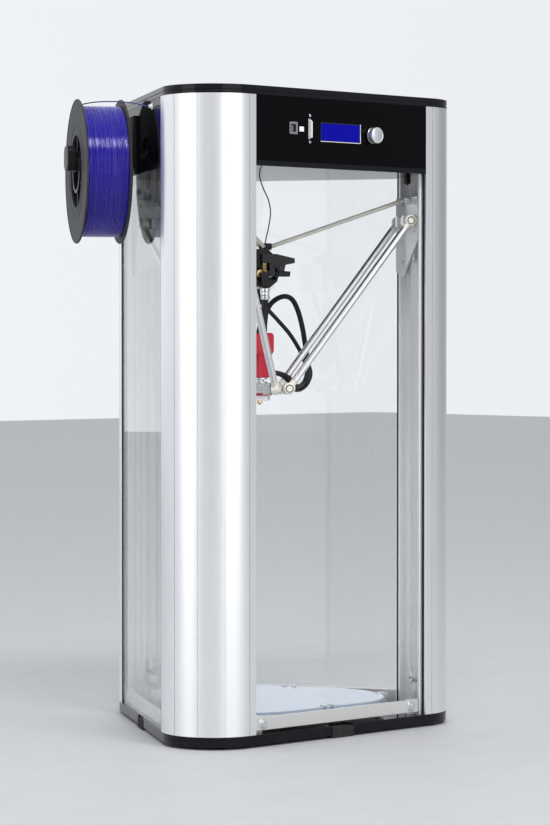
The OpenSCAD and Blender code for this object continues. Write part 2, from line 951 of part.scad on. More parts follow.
// Hanging extruder: slab body with a gear pocket, a spring ledge and a clamp ring for the cords.
module extruder_body() {
    color([0.04, 0.04, 0.045])
        at_tower(TOWER_B)
            difference() {
                union() {
                    translate([0, 9, 0])
                        rotate([90, 0, 0])
                            linear_extrude(18)
                                polygon([
                                    [-22, 613], [12, extruder_low], [23, 617], [25, 624], [41, 624],
                                    [42, 631], [31, 632], [31, 641], [14, 658], [10, 662],
                                    [-14, 662], [-22, 654]
                                ]);
                    span([-1, -18, 612], [9, -10, 630]);
                    span([-1, -10, 612], [9, -9, 619]);
                    rod_y(2, -18.5, -9, pivot_u, pivot_z);
                    rod_z(8.9, 661, ring_z + 4, filament_u, 0);
                }
                span([-6.2, -10, 619.5], [21.5, 4.6, 636.5]);
                rod_y(2.5 + 0.2, 4, 10, gear_u, gear_z);
                rod_z(1.4, extruder_low + 4, ring_z + 5, filament_u, 0);
            }
}

module extruder_motor() {
    w = motor_w / 2;
    color([0.1, 0.1, 0.11])
        at_tower(TOWER_B)
            difference() {
                span([gear_u - w, 9, gear_z - w], [gear_u + w, 9 + motor_len, gear_z + w]);
                rod_y(2.5 + fit, 8, 24, gear_u, gear_z);
            }
}

// Toothed feed gear on the motor's shaft.
module drive_gear() {
    teeth = 18;
    color([0.75, 0.72, 0.6])
        at_tower(TOWER_B) {
            difference() {
                rod_y(6, -5.5, 3.8, gear_u, gear_z);
                translate([gear_u, 0, gear_z])
                    for (k = [0:teeth - 1])
                        rotate([0, k * 360 / teeth, 0])
                            translate([5.4, -2, -0.35])
                                cube([1, 4, 0.7]);
            }
            rod_y(2.5, 3.8, 23, gear_u, gear_z);
        }
}

// Sprung lever that presses the bearing against the filament.
module idler_lever() {
    color([0.04, 0.04, 0.045])
        at_tower(TOWER_B) {
            difference() {
                translate([0, -10, 0])
                    rotate([90, 0, 0])
                        linear_extrude(8)
                            polygon([
                                [0, 643], [10, 643], [10, 624], [18, 624], [18, 638], [23, 631],
                                [31, 631], [33, 640], [46, 642.5], [46, 649], [20, 655], [0, 655]
                            ]);
                rod_y(2 + fit, -19, -9, pivot_u, pivot_z);
            }
            rod_y(1.5, -10, 3.4, bearing_u, gear_z);
        }
}

module lever_spring() {
    turns = 6;
    low = 630.6;
    high = 642.4;
    color([0.75, 0.6, 0.25])
        at_tower(TOWER_B)
            translate([4, -14, 0])
                tube([for (k = [0:turns * 12])
                    [3.2 * cos(30 * k), 3.2 * sin(30 * k), low + (high - low) * k / (turns * 12)]],
                    0.5, 1, 6);
}

module idler_bearing() {
    color([0.8, 0.8, 0.82])
        at_tower(TOWER_B)
            difference() {
                rod_y(5, -3.5, 3.2, bearing_u, gear_z);
                rod_y(1.5 + fit, -4, 4, bearing_u, gear_z);
            }
}

module guide_tube() {
    color([0.06, 0.06, 0.065])
        at_tower(TOWER_B)
            tube(GUIDE_ROUTE, 4.5, 3, 12);
}

module hotend_cables() {
    color([0.04, 0.04, 0.045])
        at_tower(TOWER_B) {
            tube(CABLE_1, 3.6, 2, 10);
            tube(CABLE_2, 2.9, 2, 10);
        }
}

// Three stretched cords from the extruder's ring to the carriages.
module elastic_cords() {
    ring = turn([filament_u, 0], TOWERS[TOWER_B]);
    color([0.9, 0.87, 0.75])
        translate([0, axis_y, 0])
            for (a = TOWERS) {
                from = ring + turn([CORD_START, 0], a);
                to = turn([plate_u - 7.4, 0], a);
                tube([for (p = CORD_ROUTE) let (q = from + (to - from) * p[0])
                    [q[0], q[1], ring_z + p[1]]], 3, 4, 10);
            }
}

// ---- Output ----

base_plate();
rubber_feet();
corner_columns();
tower_rails();
top_plate();
front_fascia();
side_fascias();
ceiling_plate();
side_panels();
panel_seals();
cross_bars();
bar_fixings();
bed_plate();
bed_glass();
bed_clamps();
display();
control_board();
mainboard();
power_supply();
drive_motors();
drive_belts();
idler_brackets();
endstops();
spool_holder();
inlet_grommet();
filament();
power_inlet();
memory_card();
encoder_shaft();
control_knob();
power_rocker();
spool();
filament_winding();
drive_pulley(0);  // drive_pulley_a
drive_pulley(1);  // drive_pulley_b
drive_pulley(2);  // drive_pulley_c
idler_pulley(0);  // idler_pulley_a
idler_pulley(1);  // idler_pulley_b
idler_pulley(2);  // idler_pulley_c
carriage(0);  // carriage_a
carriage(1);  // carriage_b
carriage(2);  // carriage_c
carriage_slider(0);  // carriage_slider_a
carriage_slider(1);  // carriage_slider_b
carriage_slider(2);  // carriage_slider_c
arm_tubes();
arm_joints();
effector_plate();
hotend();
fan_shroud();
fan_rotor();
extruder_body();
extruder_motor();
drive_gear();
idler_lever();
lever_spring();
idler_bearing();
guide_tube();
hotend_cables();
elastic_cords();
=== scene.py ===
"""Looks of the delta printer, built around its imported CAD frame."""

import json
import math

import bmesh
import bpy
from mathutils import Matrix, Vector


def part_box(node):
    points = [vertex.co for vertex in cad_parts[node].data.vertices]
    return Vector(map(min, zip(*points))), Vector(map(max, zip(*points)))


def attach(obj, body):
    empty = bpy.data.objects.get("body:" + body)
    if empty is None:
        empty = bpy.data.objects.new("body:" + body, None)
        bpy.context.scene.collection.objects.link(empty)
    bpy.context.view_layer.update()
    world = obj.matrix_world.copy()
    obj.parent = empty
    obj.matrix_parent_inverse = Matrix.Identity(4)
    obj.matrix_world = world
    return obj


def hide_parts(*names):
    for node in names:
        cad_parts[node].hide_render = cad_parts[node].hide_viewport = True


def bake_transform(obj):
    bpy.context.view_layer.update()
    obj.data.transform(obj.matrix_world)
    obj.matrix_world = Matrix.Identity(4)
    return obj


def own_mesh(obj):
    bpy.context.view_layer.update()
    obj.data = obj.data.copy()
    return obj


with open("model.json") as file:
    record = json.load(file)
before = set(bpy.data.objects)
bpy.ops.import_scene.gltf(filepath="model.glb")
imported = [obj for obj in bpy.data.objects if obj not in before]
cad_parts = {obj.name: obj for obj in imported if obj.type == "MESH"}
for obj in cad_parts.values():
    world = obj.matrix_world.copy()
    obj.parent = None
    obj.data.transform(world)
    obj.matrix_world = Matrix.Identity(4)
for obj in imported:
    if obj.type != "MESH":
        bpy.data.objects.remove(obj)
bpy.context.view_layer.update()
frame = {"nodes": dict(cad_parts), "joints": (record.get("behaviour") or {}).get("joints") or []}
joints = {j["name"]: j for j in frame["joints"]}

# ---- Measures, in millimetres unless a name says metres ----
# In the frame of a tower or a face, U points outwards, V sideways and Z up.

AXIS_Y = joints["fan_spin"]["pos_m"][1] * 1000
FLOOR_TO = {n: [v * 1000 for v in (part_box(n)[0].z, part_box(n)[1].z)] for n in frame["nodes"]}
BASE_LOW, BASE_TOP = FLOOR_TO["base_plate"]
TOP_LOW, TOP_HIGH = FLOOR_TO["top_plate"]
BED_LOW, BED_TOP = FLOOR_TO["bed_plate"]
GLASS_TOP = FLOOR_TO["bed_glass"][1]
PULLEY_Z = joints["drive_pulley_a_spin"]["pos_m"][2] * 1000
IDLER_Z = joints["idler_pulley_a_spin"]["pos_m"][2] * 1000
SPOOL_Z = joints["spool_spin"]["pos_m"][2] * 1000
BAR_HALF, BAR_LOW, BAR_HIGH = 153, BASE_TOP + 3.5, BASE_TOP + 21
BOLT_V, BRACKET_V = 138, 145
COLUMN_R = 70
COLUMN_U = 340 / math.sqrt(3)
FACE_D = COLUMN_U / 2 + COLUMN_R
FASCIA_D = FACE_D - 0.5
BAR_IN, BAR_OUT = FACE_D - 14, FACE_D - 8.5
CARRIAGE_Z = 702
JOINT_U = 207
EFFECTOR_Z = 469
EFFECTOR_U = 34
ARM_HALF = 34
ARM_LEN = math.hypot(JOINT_U - EFFECTOR_U, CARRIAGE_Z - EFFECTOR_Z)
ARM_TILT = math.atan2(JOINT_U - EFFECTOR_U, CARRIAGE_Z - EFFECTOR_Z)
TOWER_DEG = (210, 330, 90)
FACE_DEG = (270, 30, 150)
FRONT, REAR, LEFT = range(3)
TOWER_B = 1
LETTERS = "abc"
SIDES = ("front", "rear", "left")
BELT_IN, BELT_OUT, WEB_U = 218.5, 224.5, 227.5
KNOB_V, KNOB_Z = 53, 813
SPOOL_V = -55
INLET_V, INLET_Z = 94, 850


def at(x, y, z):
    """Place at a point in millimetres."""
    return Matrix.Translation((x / 1000, y / 1000, z / 1000))


def turned(degrees, axis):
    return Matrix.Rotation(math.radians(degrees), 4, axis)


def around(degrees):
    """Frame on the machine's axis, turned about it."""
    return at(0, AXIS_Y, 0) @ turned(degrees, "Z")


TOWER = [around(a) for a in TOWER_DEG]
FACE = [around(a) for a in FACE_DEG]
CENTRE = around(0)
ALONG_X = turned(90, "Y")
ALONG_Y = turned(-90, "X")


# ---- Camera, before everything else ----

EYE = Vector((-2.797, -3.127, 0.543))
camera_data = bpy.data.cameras.new("camera")
camera_data.sensor_width = 36
camera_data.lens = 130.9
camera_data.clip_end = 60
camera = bpy.data.objects.new("camera", camera_data)
camera.location = EYE
camera.rotation_euler = (math.radians(90 - 1.48), 0, math.radians(-42.5))
bpy.context.scene.collection.objects.link(camera)
bpy.context.scene.camera = camera


# ---- Materials ----

def finish(name, color, metal=0.0, rough=0.4, grain=90, uneven=0.15, vary=0.05,
           bump=0.1, depth=0.02, pattern="straight"):
    """Surface with fine grain in its roughness, height and colour.

    grain is how many features there are per metre, one number or one for each axis. The pattern is
    straight, spun (rings round the local X axis) or rayed (lines away from the local X axis)."""
    material = bpy.data.materials.new(name)
    material.use_nodes = True
    nodes = material.node_tree.nodes
    link = material.node_tree.links.new
    shader = nodes["Principled BSDF"]
    place = nodes.new("ShaderNodeTexCoord").outputs["Object"]
    if pattern != "straight":
        split = nodes.new("ShaderNodeSeparateXYZ")
        link(place, split.inputs[0])
        angle = nodes.new("ShaderNodeMath")
        angle.operation = "ARCTAN2"
        link(split.outputs["Y"], angle.inputs[0])
        link(split.outputs["Z"], angle.inputs[1])
        flat = nodes.new("ShaderNodeCombineXYZ")
        link(split.outputs["Y"], flat.inputs["X"])
        link(split.outputs["Z"], flat.inputs["Y"])
        radius = nodes.new("ShaderNodeVectorMath")
        radius.operation = "LENGTH"
        link(flat.outputs[0], radius.inputs[0])
        polar = nodes.new("ShaderNodeCombineXYZ")
        link(angle.outputs[0], polar.inputs["X"])
        link(radius.outputs["Value"], polar.inputs["Y"])
        link(split.outputs["X"], polar.inputs["Z"])
        place = polar.outputs[0]
    stretch = nodes.new("ShaderNodeMapping")
    stretch.inputs["Scale"].default_value = grain if isinstance(grain, tuple) else (grain,) * 3
    link(place, stretch.inputs["Vector"])
    fine = nodes.new("ShaderNodeTexNoise")
    fine.inputs["Scale"].default_value = 1
    fine.inputs["Detail"].default_value = 4
    link(stretch.outputs[0], fine.inputs["Vector"])
    cloud = nodes.new("ShaderNodeTexNoise")
    cloud.inputs["Scale"].default_value = 14
    cloud.inputs["Detail"].default_value = 3
    link(nodes.new("ShaderNodeTexCoord").outputs["Object"], cloud.inputs["Vector"])
    gloss = nodes.new("ShaderNodeMapRange")
    gloss.inputs["To Min"].default_value = max(rough * (1 - uneven), 0.0)
    gloss.inputs["To Max"].default_value = min(rough * (1 + uneven), 1.0)
    link(fine.outputs["Fac"], gloss.inputs["Value"])
    link(gloss.outputs[0], shader.inputs["Roughness"])
    shade = nodes.new("ShaderNodeMix")
    shade.data_type = "RGBA"
    shade.inputs[6].default_value = [*(c * (1 - vary) for c in color), 1]
    shade.inputs[7].default_value = [*(min(c * (1 + vary), 1) for c in color), 1]
    link((cloud if pattern == "straight" else fine).outputs["Fac"], shade.inputs[0])
    link(shade.outputs[2], shader.inputs["Base Color"])
    if bump:
        relief = nodes.new("ShaderNodeBump")
        relief.inputs["Strength"].default_value = bump
        relief.inputs["Distance"].default_value = depth / 1000
        link(fine.outputs["Fac"], relief.inputs["Height"])
        link(relief.outputs[0], shader.inputs["Normal"])
    shader.inputs["Metallic"].default_value = metal
    return material


def extras(material, **values):
    """Sets uniform values on the shader's own sockets."""
    shader = material.node_tree.nodes["Principled BSDF"]
    for socket, value in values.items():
        shader.inputs[socket.replace("_", " ")].default_value = value


UPRIGHT = (2600, 2600, 14)
acrylic = finish("black_sheet", (0.002, 0.002, 0.003), rough=0.05, grain=40, uneven=0.3, bump=0.02)
ceiling_black = finish("ceiling_sheet", (0.004, 0.005, 0.008), rough=0.06, grain=40, uneven=0.3, bump=0.02)
edge_black = finish("black_edge", (0.006, 0.006, 0.008), rough=0.08, grain=(300, 300, 60), uneven=0.4,
                    bump=0.05)
anodised = finish("anodised_columns", (0.93, 0.935, 0.955), 1.0, 0.33, UPRIGHT, 0.25, 0.02, 0.12, 0.01)
rail_metal = finish("anodised_rails", (0.93, 0.935, 0.94), 0.55, 0.42, UPRIGHT, 0.25, 0.03, 0.12, 0.01)
bar_metal = finish("brushed_bar", (0.88, 0.87, 0.85), 1.0, 0.36, (2200, 12, 2200), 0.3, 0.03, 0.2, 0.015)
sheet_metal = finish("brushed_sheet", (0.88, 0.885, 0.9), 0.7, 0.4, (2200, 2200, 22), 0.25, 0.04, 0.2, 0.015)
tube_metal = finish("arm_tube", (0.95, 0.955, 0.965), 1.0, 0.3, (1500, 1500, 10), 0.3, 0.02, 0.1, 0.008)
steel = finish("zinc_steel", (0.74, 0.75, 0.77), 1.0, 0.3, 500, 0.35, 0.08, 0.15, 0.01)
dark_steel = finish("black_screw", (0.06, 0.06, 0.065), 1.0, 0.38, 500, 0.3, 0.1, 0.15, 0.01)
turned_metal = finish("spun_aluminium", (0.82, 0.825, 0.84), 1.0, 0.36, (2, 5200, 60), 0.4, 0.03, 0.35, 0.02,
                      "spun")
cast_metal = finish("milled_bed", (0.76, 0.77, 0.79), 1.0, 0.3, (35, 900, 35), 0.3, 0.04, 0.15, 0.01)
brass = finish("brass", (0.78, 0.6, 0.28), 1.0, 0.25, 400, 0.3, 0.08, 0.1, 0.01)
moulded = finish("moulded_black", (0.01, 0.01, 0.012), rough=0.4, grain=900, uneven=0.2, bump=0.25)
satin_black = finish("satin_black", (0.014, 0.014, 0.017), rough=0.3, grain=700, uneven=0.25, bump=0.15)
rubber = finish("rubber", (0.022, 0.022, 0.024), rough=0.62, grain=500, uneven=0.2, bump=0.3, depth=0.04)
belt_pale = finish("belt", (0.88, 0.88, 0.88), rough=0.5, grain=(400, 400, 60), uneven=0.2, bump=0.2)
cream = finish("ivory_plastic", (0.9, 0.87, 0.77), rough=0.34, grain=500, uneven=0.25, bump=0.12)
shield = finish("port_shield", (0.36, 0.37, 0.39), 1.0, 0.4, 500, 0.35, 0.15, 0.15, 0.01)
white = finish("white_plastic", (0.9, 0.9, 0.89), rough=0.32, grain=500, uneven=0.2, bump=0.1)
red = finish("red_plastic", (0.58, 0.022, 0.05), rough=0.24, grain=(350, 350, 1800), uneven=0.3, bump=0.22,
             depth=0.03)
flange = finish("spool_grey", (0.05, 0.052, 0.056), rough=0.5, grain=(42, 14, 20), uneven=0.35, vary=0.6,
                bump=0.3, depth=0.05, pattern="rayed")
hub_black = finish("hub_black", (0.012, 0.012, 0.014), rough=0.34, grain=300, uneven=0.3, bump=0.1)
winding = finish("blue_filament", (0.01, 0.001, 0.36), rough=0.17, grain=(3, 500, 900), uneven=0.3,
                 vary=0.45, bump=0.1, pattern="spun")
strand = finish("filament_strand", (0.03, 0.03, 0.16), rough=0.18, grain=300, uneven=0.2, bump=0.05)
cable_black = finish("cable_sheath", (0.012, 0.012, 0.014), rough=0.42, grain=1200, uneven=0.2, bump=0.25)
cord_cream = finish("elastic_cord", (0.9, 0.89, 0.8), rough=0.3, grain=300, uneven=0.25, bump=0.12)
board_green = finish("circuit_board", (0.02, 0.16, 0.06), rough=0.35, grain=250, uneven=0.3, vary=0.25)
case_grey = finish("supply_case", (0.5, 0.51, 0.53), 0.8, 0.4, 900, 0.2, 0.05)
motor_black = finish("motor_black", (0.025, 0.025, 0.028), 0.3, 0.35, 600, 0.3, 0.1, 0.15)
extras(acrylic, Specular_IOR_Level=0.06)
extras(ceiling_black, Specular_IOR_Level=0.2)
extras(edge_black, Specular_IOR_Level=0.18)
for dull in (moulded, satin_black, cable_black, rubber):
    extras(dull, Specular_IOR_Level=0.3)
extras(flange, Specular_IOR_Level=0.12)
extras(winding, Specular_IOR_Level=1.0, Specular_Tint=(0.85, 0.82, 1.0, 1.0))
extras(cord_cream, Transmission_Weight=0.25, Subsurface_Weight=0.2, Subsurface_Scale=0.003)
extras(cream, Subsurface_Weight=0.12, Subsurface_Scale=0.002)

clear = finish("clear_panel", (0.965, 0.985, 0.985), rough=0.012, grain=(6, 6, 2), uneven=0.5, vary=0.01,
               bump=0.0)
extras(clear, Transmission_Weight=1.0, IOR=1.49)
plate_glass = finish("bed_glass", (0.66, 0.76, 0.9), rough=0.03, grain=9, uneven=0.5, vary=0.02, bump=0.0)
extras(plate_glass, Transmission_Weight=0.35, IOR=1.5)


def lit_screen():
    """Backlit blue screen with a faint grid of blank character cells."""
    material = finish("screen_blue", (0.0, 0.0, 0.08), rough=0.12, grain=60, bump=0.0)
    nodes = material.node_tree.nodes
    link = material.node_tree.links.new
    shader = nodes["Principled BSDF"]
    grid = nodes.new("ShaderNodeTexBrick")
    grid.offset = 0
    grid.inputs["Color1"].default_value = (0.001, 0.001, 0.31, 1)
    grid.inputs["Color2"].default_value = (0.001, 0.001, 0.28, 1)
    grid.inputs["Mortar"].default_value = (0.001, 0.0, 0.2, 1)
    grid.inputs["Scale"].default_value = 1
    grid.inputs["Mortar Size"].default_value = 0.0006
    grid.inputs["Brick Width"].default_value = 0.0034
    grid.inputs["Row Height"].default_value = 0.0058
    turn = nodes.new("ShaderNodeMapping")
    turn.inputs["Rotation"].default_value = (math.radians(90), 0, math.radians(90))
    link(nodes.new("ShaderNodeTexCoord").outputs["Object"], turn.inputs["Vector"])
    link(turn.outputs[0], grid.inputs["Vector"])
    link(grid.outputs["Color"], shader.inputs["Emission Color"])
    shader.inputs["Emission Strength"].default_value = 1
    shader.inputs["Specular IOR Level"].default_value = 0.1
    return material


screen_blue = lit_screen()


# ---- Mesh building ----

def round_edges(piece, width, angle):
    """Bevels the edges that are sharper than an angle in degrees."""
    bevel = piece.modifiers.new("edges", "BEVEL")
    bevel.width = width / 1000
    bevel.segments = 2
    bevel.limit_method = "ANGLE"
    bevel.angle_limit = math.radians(angle)
    bevel.harden_normals = True


class Shape:
    """Solids in millimetres in one local frame, that become one object."""

    def __init__(self):
        self.points = []
        self.faces = []

    def add(self, points, faces, place=None):
        start = len(self.points)
        for p in points:
            p = Vector(p)
            if place is not None:
                p = place @ (p / 1000) * 1000
            self.points.append(p)
        self.faces += [[start + k for k in face] for face in faces]
        return self

    def prism(self, outline, low, high, place=None):
        """Outline in X and Y, from one height to another."""
        n = len(outline)
        points = [(x, y, z) for z in (low, high) for x, y in outline]
        faces = [list(range(n))[::-1], list(range(n, 2 * n))]
        faces += [[k, (k + 1) % n, n + (k + 1) % n, n + k] for k in range(n)]
        return self.add(points, faces, place)

    def box(self, low, high, place=None):
        corners = [(low[0], low[1]), (high[0], low[1]), (high[0], high[1]), (low[0], high[1])]
        return self.prism(corners, low[2], high[2], place)

    def lathe(self, profile, place=None, steps=56):
        """Closed profile of (radius, height) turned round Z."""
        n = len(profile)
        points = []
        for k in range(steps):
            a = 2 * math.pi * k / steps
            points += [(r * math.cos(a), r * math.sin(a), h) for r, h in profile]
        faces = []
        for k in range(steps):
            this, after = k * n, (k + 1) % steps * n
            faces += [[this + j, after + j, after + (j + 1) % n, this + (j + 1) % n] for j in range(n)]
        return self.add(points, faces, place)

    def disc(self, r, low, high, place=None, steps=40):
        return self.lathe([(0, low), (r, low), (r, high), (0, high)], place, steps)

    def loft(self, loops, closed=False):
        """Skin over loops that have the same number of points; its ends are capped, or joined up."""
        n, rows = len(loops[0]), len(loops)
        points = [p for loop in loops for p in loop]
        faces = []
        for k in range(rows if closed else rows - 1):
            a, b = k * n, (k + 1) % rows * n
            faces += [[a + j, a + (j + 1) % n, b + (j + 1) % n, b + j] for j in range(n)]
        if not closed:
            faces += [list(range(n))[::-1], list(range((rows - 1) * n, rows * n))]
        return self.add(points, faces)

    def tube(self, route, r, sides=12):
        """Round tube along points, with no twist."""
        route = [Vector(p) for p in route]
        last = len(route) - 1
        side = Vector((0.3, 0.9, 0.4))
        points = []
        for k, p in enumerate(route):
            along = (route[min(k + 1, last)] - route[max(k - 1, 0)]).normalized()
            side = (side - along * side.dot(along)).normalized()
            other = along.cross(side)
            for j in range(sides):
                a = 2 * math.pi * j / sides
                points.append(p + r * (math.cos(a) * side + math.sin(a) * other))
        faces = []
        for k in range(last):
            a, b = k * sides, (k + 1) * sides
            faces += [[a + j, a + (j + 1) % sides, b + (j + 1) % sides, b + j] for j in range(sides)]
        faces += [list(range(sides))[::-1], list(range(last * sides, (last + 1) * sides))]
        return self.add(points, faces)

    def make(self, name, material, body="root", place=None, edge=0.0, stands_for=None, slot=None, angle=34):
        """One object of these solids, with rounded edges, that rides on a body."""
        mesh = bpy.data.meshes.new(name)
        mesh.from_pydata([tuple(p / 1000) for p in self.points], [], self.faces)
        work = bmesh.new()
        work.from_mesh(mesh)
        bmesh.ops.remove_doubles(work, verts=work.verts, dist=1e-7)
        bmesh.ops.dissolve_degenerate(work, edges=work.edges, dist=1e-8)
        bmesh.ops.recalc_face_normals(work, faces=work.faces)
        work.to_mesh(mesh)
        work.free()
        for polygon in mesh.polygons:
            polygon.use_smooth = True
        mesh.set_sharp_from_angle(angle=math.radians(angle))
        mesh.materials.append(material)
        piece = bpy.data.objects.new(name, mesh)
        bpy.context.scene.collection.objects.link(piece)
        piece.matrix_world = place if place is not None else Matrix.Identity(4)
        if edge:
            round_edges(piece, edge, angle)
        if body:
            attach(piece, body)
        if stands_for:
            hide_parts(stands_for)
        return piece


def carried(node, material, edge=0.0):
    """CAD node that stays, with its finish and rounded edges."""
    piece = frame["nodes"][node]
    piece.data.materials.clear()
    piece.data.materials.append(material)
    if edge:
        weld = piece.modifiers.new("weld", "WELD")
        weld.merge_threshold = 0.00001
        flat = piece.modifiers.new("flat", "DECIMATE")
        flat.decimate_type = "DISSOLVE"
        flat.angle_limit = math.radians(1)
        round_edges(piece, edge, 40)
    return piece


def rounded(corners, r, steps=5):
    """Outline with its corners rounded."""
    out = []
    n = len(corners)
    for k in range(n):
        p = Vector(corners[k])
        a = (Vector(corners[k - 1]) - p).normalized()
        b = (Vector(corners[(k + 1) % n]) - p).normalized()
        half = math.acos(max(-1, min(1, a.dot(b)))) / 2
        back = r / math.tan(half)
        centre = p + (a + b).normalized() * (r / math.sin(half))
        start, end = p + a * back - centre, p + b * back - centre
        sweep = start.angle_signed(end)
        for j in range(steps + 1):
            c, s = math.cos(-sweep * j / steps), math.sin(-sweep * j / steps)
            out.append((centre.x + start.x * c - start.y * s, centre.y + start.x * s + start.y * c))
    return out


def rounded_triangle(reach, r, notch=None):
    """Outline round the machine's axis, counter-clockwise, with an optional notch in each side."""
    out = []
    for tower in (90, 210, 330):
        a = math.radians(tower)
        for step in range(-30, 31):
            t = a + math.radians(2 * step)
            out.append((reach * math.cos(a) + r * math.cos(t), reach * math.sin(a) + r * math.sin(t)))
        if notch:
            f = math.radians(tower + 60)
            deep, half, d = notch
            for u, v in ((d, -half), (d - deep, -half), (d - deep, half), (d, half)):
                out.append((u * math.cos(f) - v * math.sin(f), u * math.sin(f) + v * math.cos(f)))
    return out


def smooth(points, steps):
    """Points on one smooth curve through the route's points."""
    p = [Vector(q) for q in points]
    last = len(p) - 1
    out = []
    for i in range(last):
        a, b, c, d = p[max(i - 1, 0)], p[i], p[i + 1], p[min(i + 2, last)]
        for k in range(steps):
            t = k / steps
            out.append((2 * b + (c - a) * t + (2 * a - 5 * b + 4 * c - d) * t ** 2
                        + (3 * b - a - 3 * c + d) * t ** 3) / 2)
    return [*out, p[last]]


def socket_screw(shape, r, place, head=3.0):
    """Round head with a six-sided socket, along the place's Z."""
    socket = r * 0.5
    shape.lathe([(0, -1), (r, -1), (r, head - 0.4), (r - 0.4, head), (socket + 0.3, head),
                 (socket, head - 0.3), (socket, head - 1.6), (0, head - 1.6)], place, 30)


def hex_bolt(shape, r, place, head=3.0, washer=True):
    """Six-sided head on a washer, along the place's Z."""
    if washer:
        shape.lathe([(0, -0.2), (r * 1.35, -0.2), (r * 1.35, 0.7), (r * 1.25, 0.9), (0, 0.9)], place, 32)
    corners = [(r * math.cos(math.radians(60 * k)), r * math.sin(math.radians(60 * k))) for k in range(6)]
    shape.prism(corners, 0.8, head, place)
    shape.disc(r * 0.8, head, head + 0.25, place, 24)


# ---- Cords ----

def cord_piece(name, route, r, material, node, body, place, sides, slot):
    """Round cord along its route, from one part of the object into another."""
    local = smooth(route, 6)
    piece = Shape().tube(local, r, sides).make(name, material, body, place, 0, node, slot, 60)
    return piece


FILAMENT_ROUTE = [
    (240, -70, 861), (238, -48, 862.5), (225, -8, 862.5), (205, 35, 860), (188, 74, 855),
    (177, 93, 850.5), (168, 94, 850), (160, 94, 850), (140, 87, 848), (100, 60, 838),
    (55, 33, 815), (15, 8, 792), (0, 0, 776), (0, 0, 762), (-5, 1, 746),
    (-12, 2, 730), (-15, 2, 712), (-12, 1, 690), (-8, 0, 671), (-8, 0, 650), (-8, 0, 632),
]
GUIDE_ROUTE = [(8, 0, 608), (8, 0, 590), (4, 0, 566), (0, 0, 548), (0, 0, 530.5)]
CABLE_1 = [
    (9, 10, 546), (10, 12, 560), (14, 17, 577), (25, 25, 590), (42, 36, 597), (56, 44, 593),
    (66, 50, 577), (73, 54, 555), (77, 56, 535), (82, 56, 503), (84, 52, 488), (78, 46, 475),
    (67, 37, 467.5), (56, 26, 467), (50, 18, 472), (42, 10, 481), (34, 5, 487), (25, 2.5, 490),
    (16.4, 1.5, 491), (11, 1.4, 491),
]
CABLE_2 = [
    (4, 30, 607), (9, 32, 590), (33, 38, 565), (52, 43, 545), (67, 47, 523), (76, 48, 503),
    (77, 43, 488), (71, 35, 477), (62, 22, 472), (54, 9, 472.5), (46, -1, 480), (37, -7, 486),
    (28, -9.5, 489.5), (17.9, -10, 491), (12.5, -6, 491),
]

loose = cord_piece("filament_strand", FILAMENT_ROUTE, 0.875, strand, "filament", None, FACE[LEFT], 12,
                   "filament_strand")
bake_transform(loose)
cord_piece("guide_sleeve", GUIDE_ROUTE, 4.5, cable_black, "guide_tube", "effector", TOWER[TOWER_B], 24,
           "tube_black")
cord_piece("hotend_cable", CABLE_1, 3.6, cable_black, "hotend_cables", "effector", TOWER[TOWER_B], 20,
           "cable_black")
cord_piece("sensor_cable", CABLE_2, 2.9, cable_black, "hotend_cables", "effector", TOWER[TOWER_B], 20,
           "cable_black")


# ---- Frame ----

def column_outline():
    """Curved shell over 120 degrees, with grooves and two flat lips."""
    lip, wall, half, deep = 12, 3, 0.55, 1.4

    def lip_end(side):
        """One lip, from its outer face round to the inner one."""
        a = math.radians(60 * side)
        radial = Vector((math.cos(a), math.sin(a)))
        tangent = Vector((-math.sin(a), math.cos(a))) * side
        return [radial * COLUMN_R + tangent * (lip - 0.5), radial * (COLUMN_R - 0.5) + tangent * lip,
                radial * (COLUMN_R - wall) + tangent * lip, radial * (COLUMN_R - wall)]

    out = lip_end(-1)[2::-1]
    for k in range(-60, 61):
        a = math.radians(k)
        if k % 30:
            out.append(COLUMN_R * Vector((math.cos(a), math.sin(a))))
            continue
        edge = math.degrees(half / COLUMN_R)
        for turn, r in ((-edge, COLUMN_R), (-edge * 0.6, COLUMN_R - deep), (edge * 0.6, COLUMN_R - deep),
                        (edge, COLUMN_R)):
            t = math.radians(k + turn)
            out.append(r * Vector((math.cos(t), math.sin(t))))
    out += lip_end(1)
    for k in range(59, -61, -1):
        a = math.radians(k)
        out.append((COLUMN_R - wall) * Vector((math.cos(a), math.sin(a))))
    return [(COLUMN_U + p[0], p[1]) for p in out]


def rail_outline():
    """Two rails with grooves, joined by a web that has lines along it."""
    front, back, web, inner, outer = 214, 230.5, WEB_U, 48, 56
    half = [(web, 0)]
    for v in (9, 20, 31, 40):
        half += [(web, v - 1.1), (web + 2, v - 0.9), (web + 2, v + 0.9), (web, v + 1.1)]
    half += [(web, inner), (222, inner), (222, inner + 3), (219, inner + 3), (219, inner),
             (front + 0.3, inner), (front, inner + 0.3), (front, 52.5), (front + 1, 52.5),
             (front + 1, 53.7), (front, 53.7), (front, outer - 0.4), (front + 0.4, outer)]
    half += [(221.5, outer), (222.2, outer - 1.4), (224.8, outer - 1.4), (225.5, outer), (back, outer)]
    return half[::-1] + [(u, -v) for u, v in half[1:]]


base = Shape().prism(rounded_triangle(COLUMN_U, COLUMN_R, (18, 20, FACE_D)), BASE_LOW, BASE_TOP)
base.make("base_sheet", edge_black, "root", CENTRE, 0.9, "base_plate", "black_plate")
for name, low, high, r, edge in (("lower", TOP_LOW, TOP_LOW + 4, COLUMN_R, 0.7),
                                 ("joint", TOP_LOW + 4, TOP_LOW + 5, COLUMN_R - 0.8, 0),
                                 ("upper", TOP_LOW + 5, TOP_HIGH, COLUMN_R, 0.7)):
    sheet = Shape().prism(rounded_triangle(COLUMN_U, r), low, high)
    sheet.make("top_sheet_" + name, edge_black, "root", CENTRE, edge, "top_plate", "black_plate")

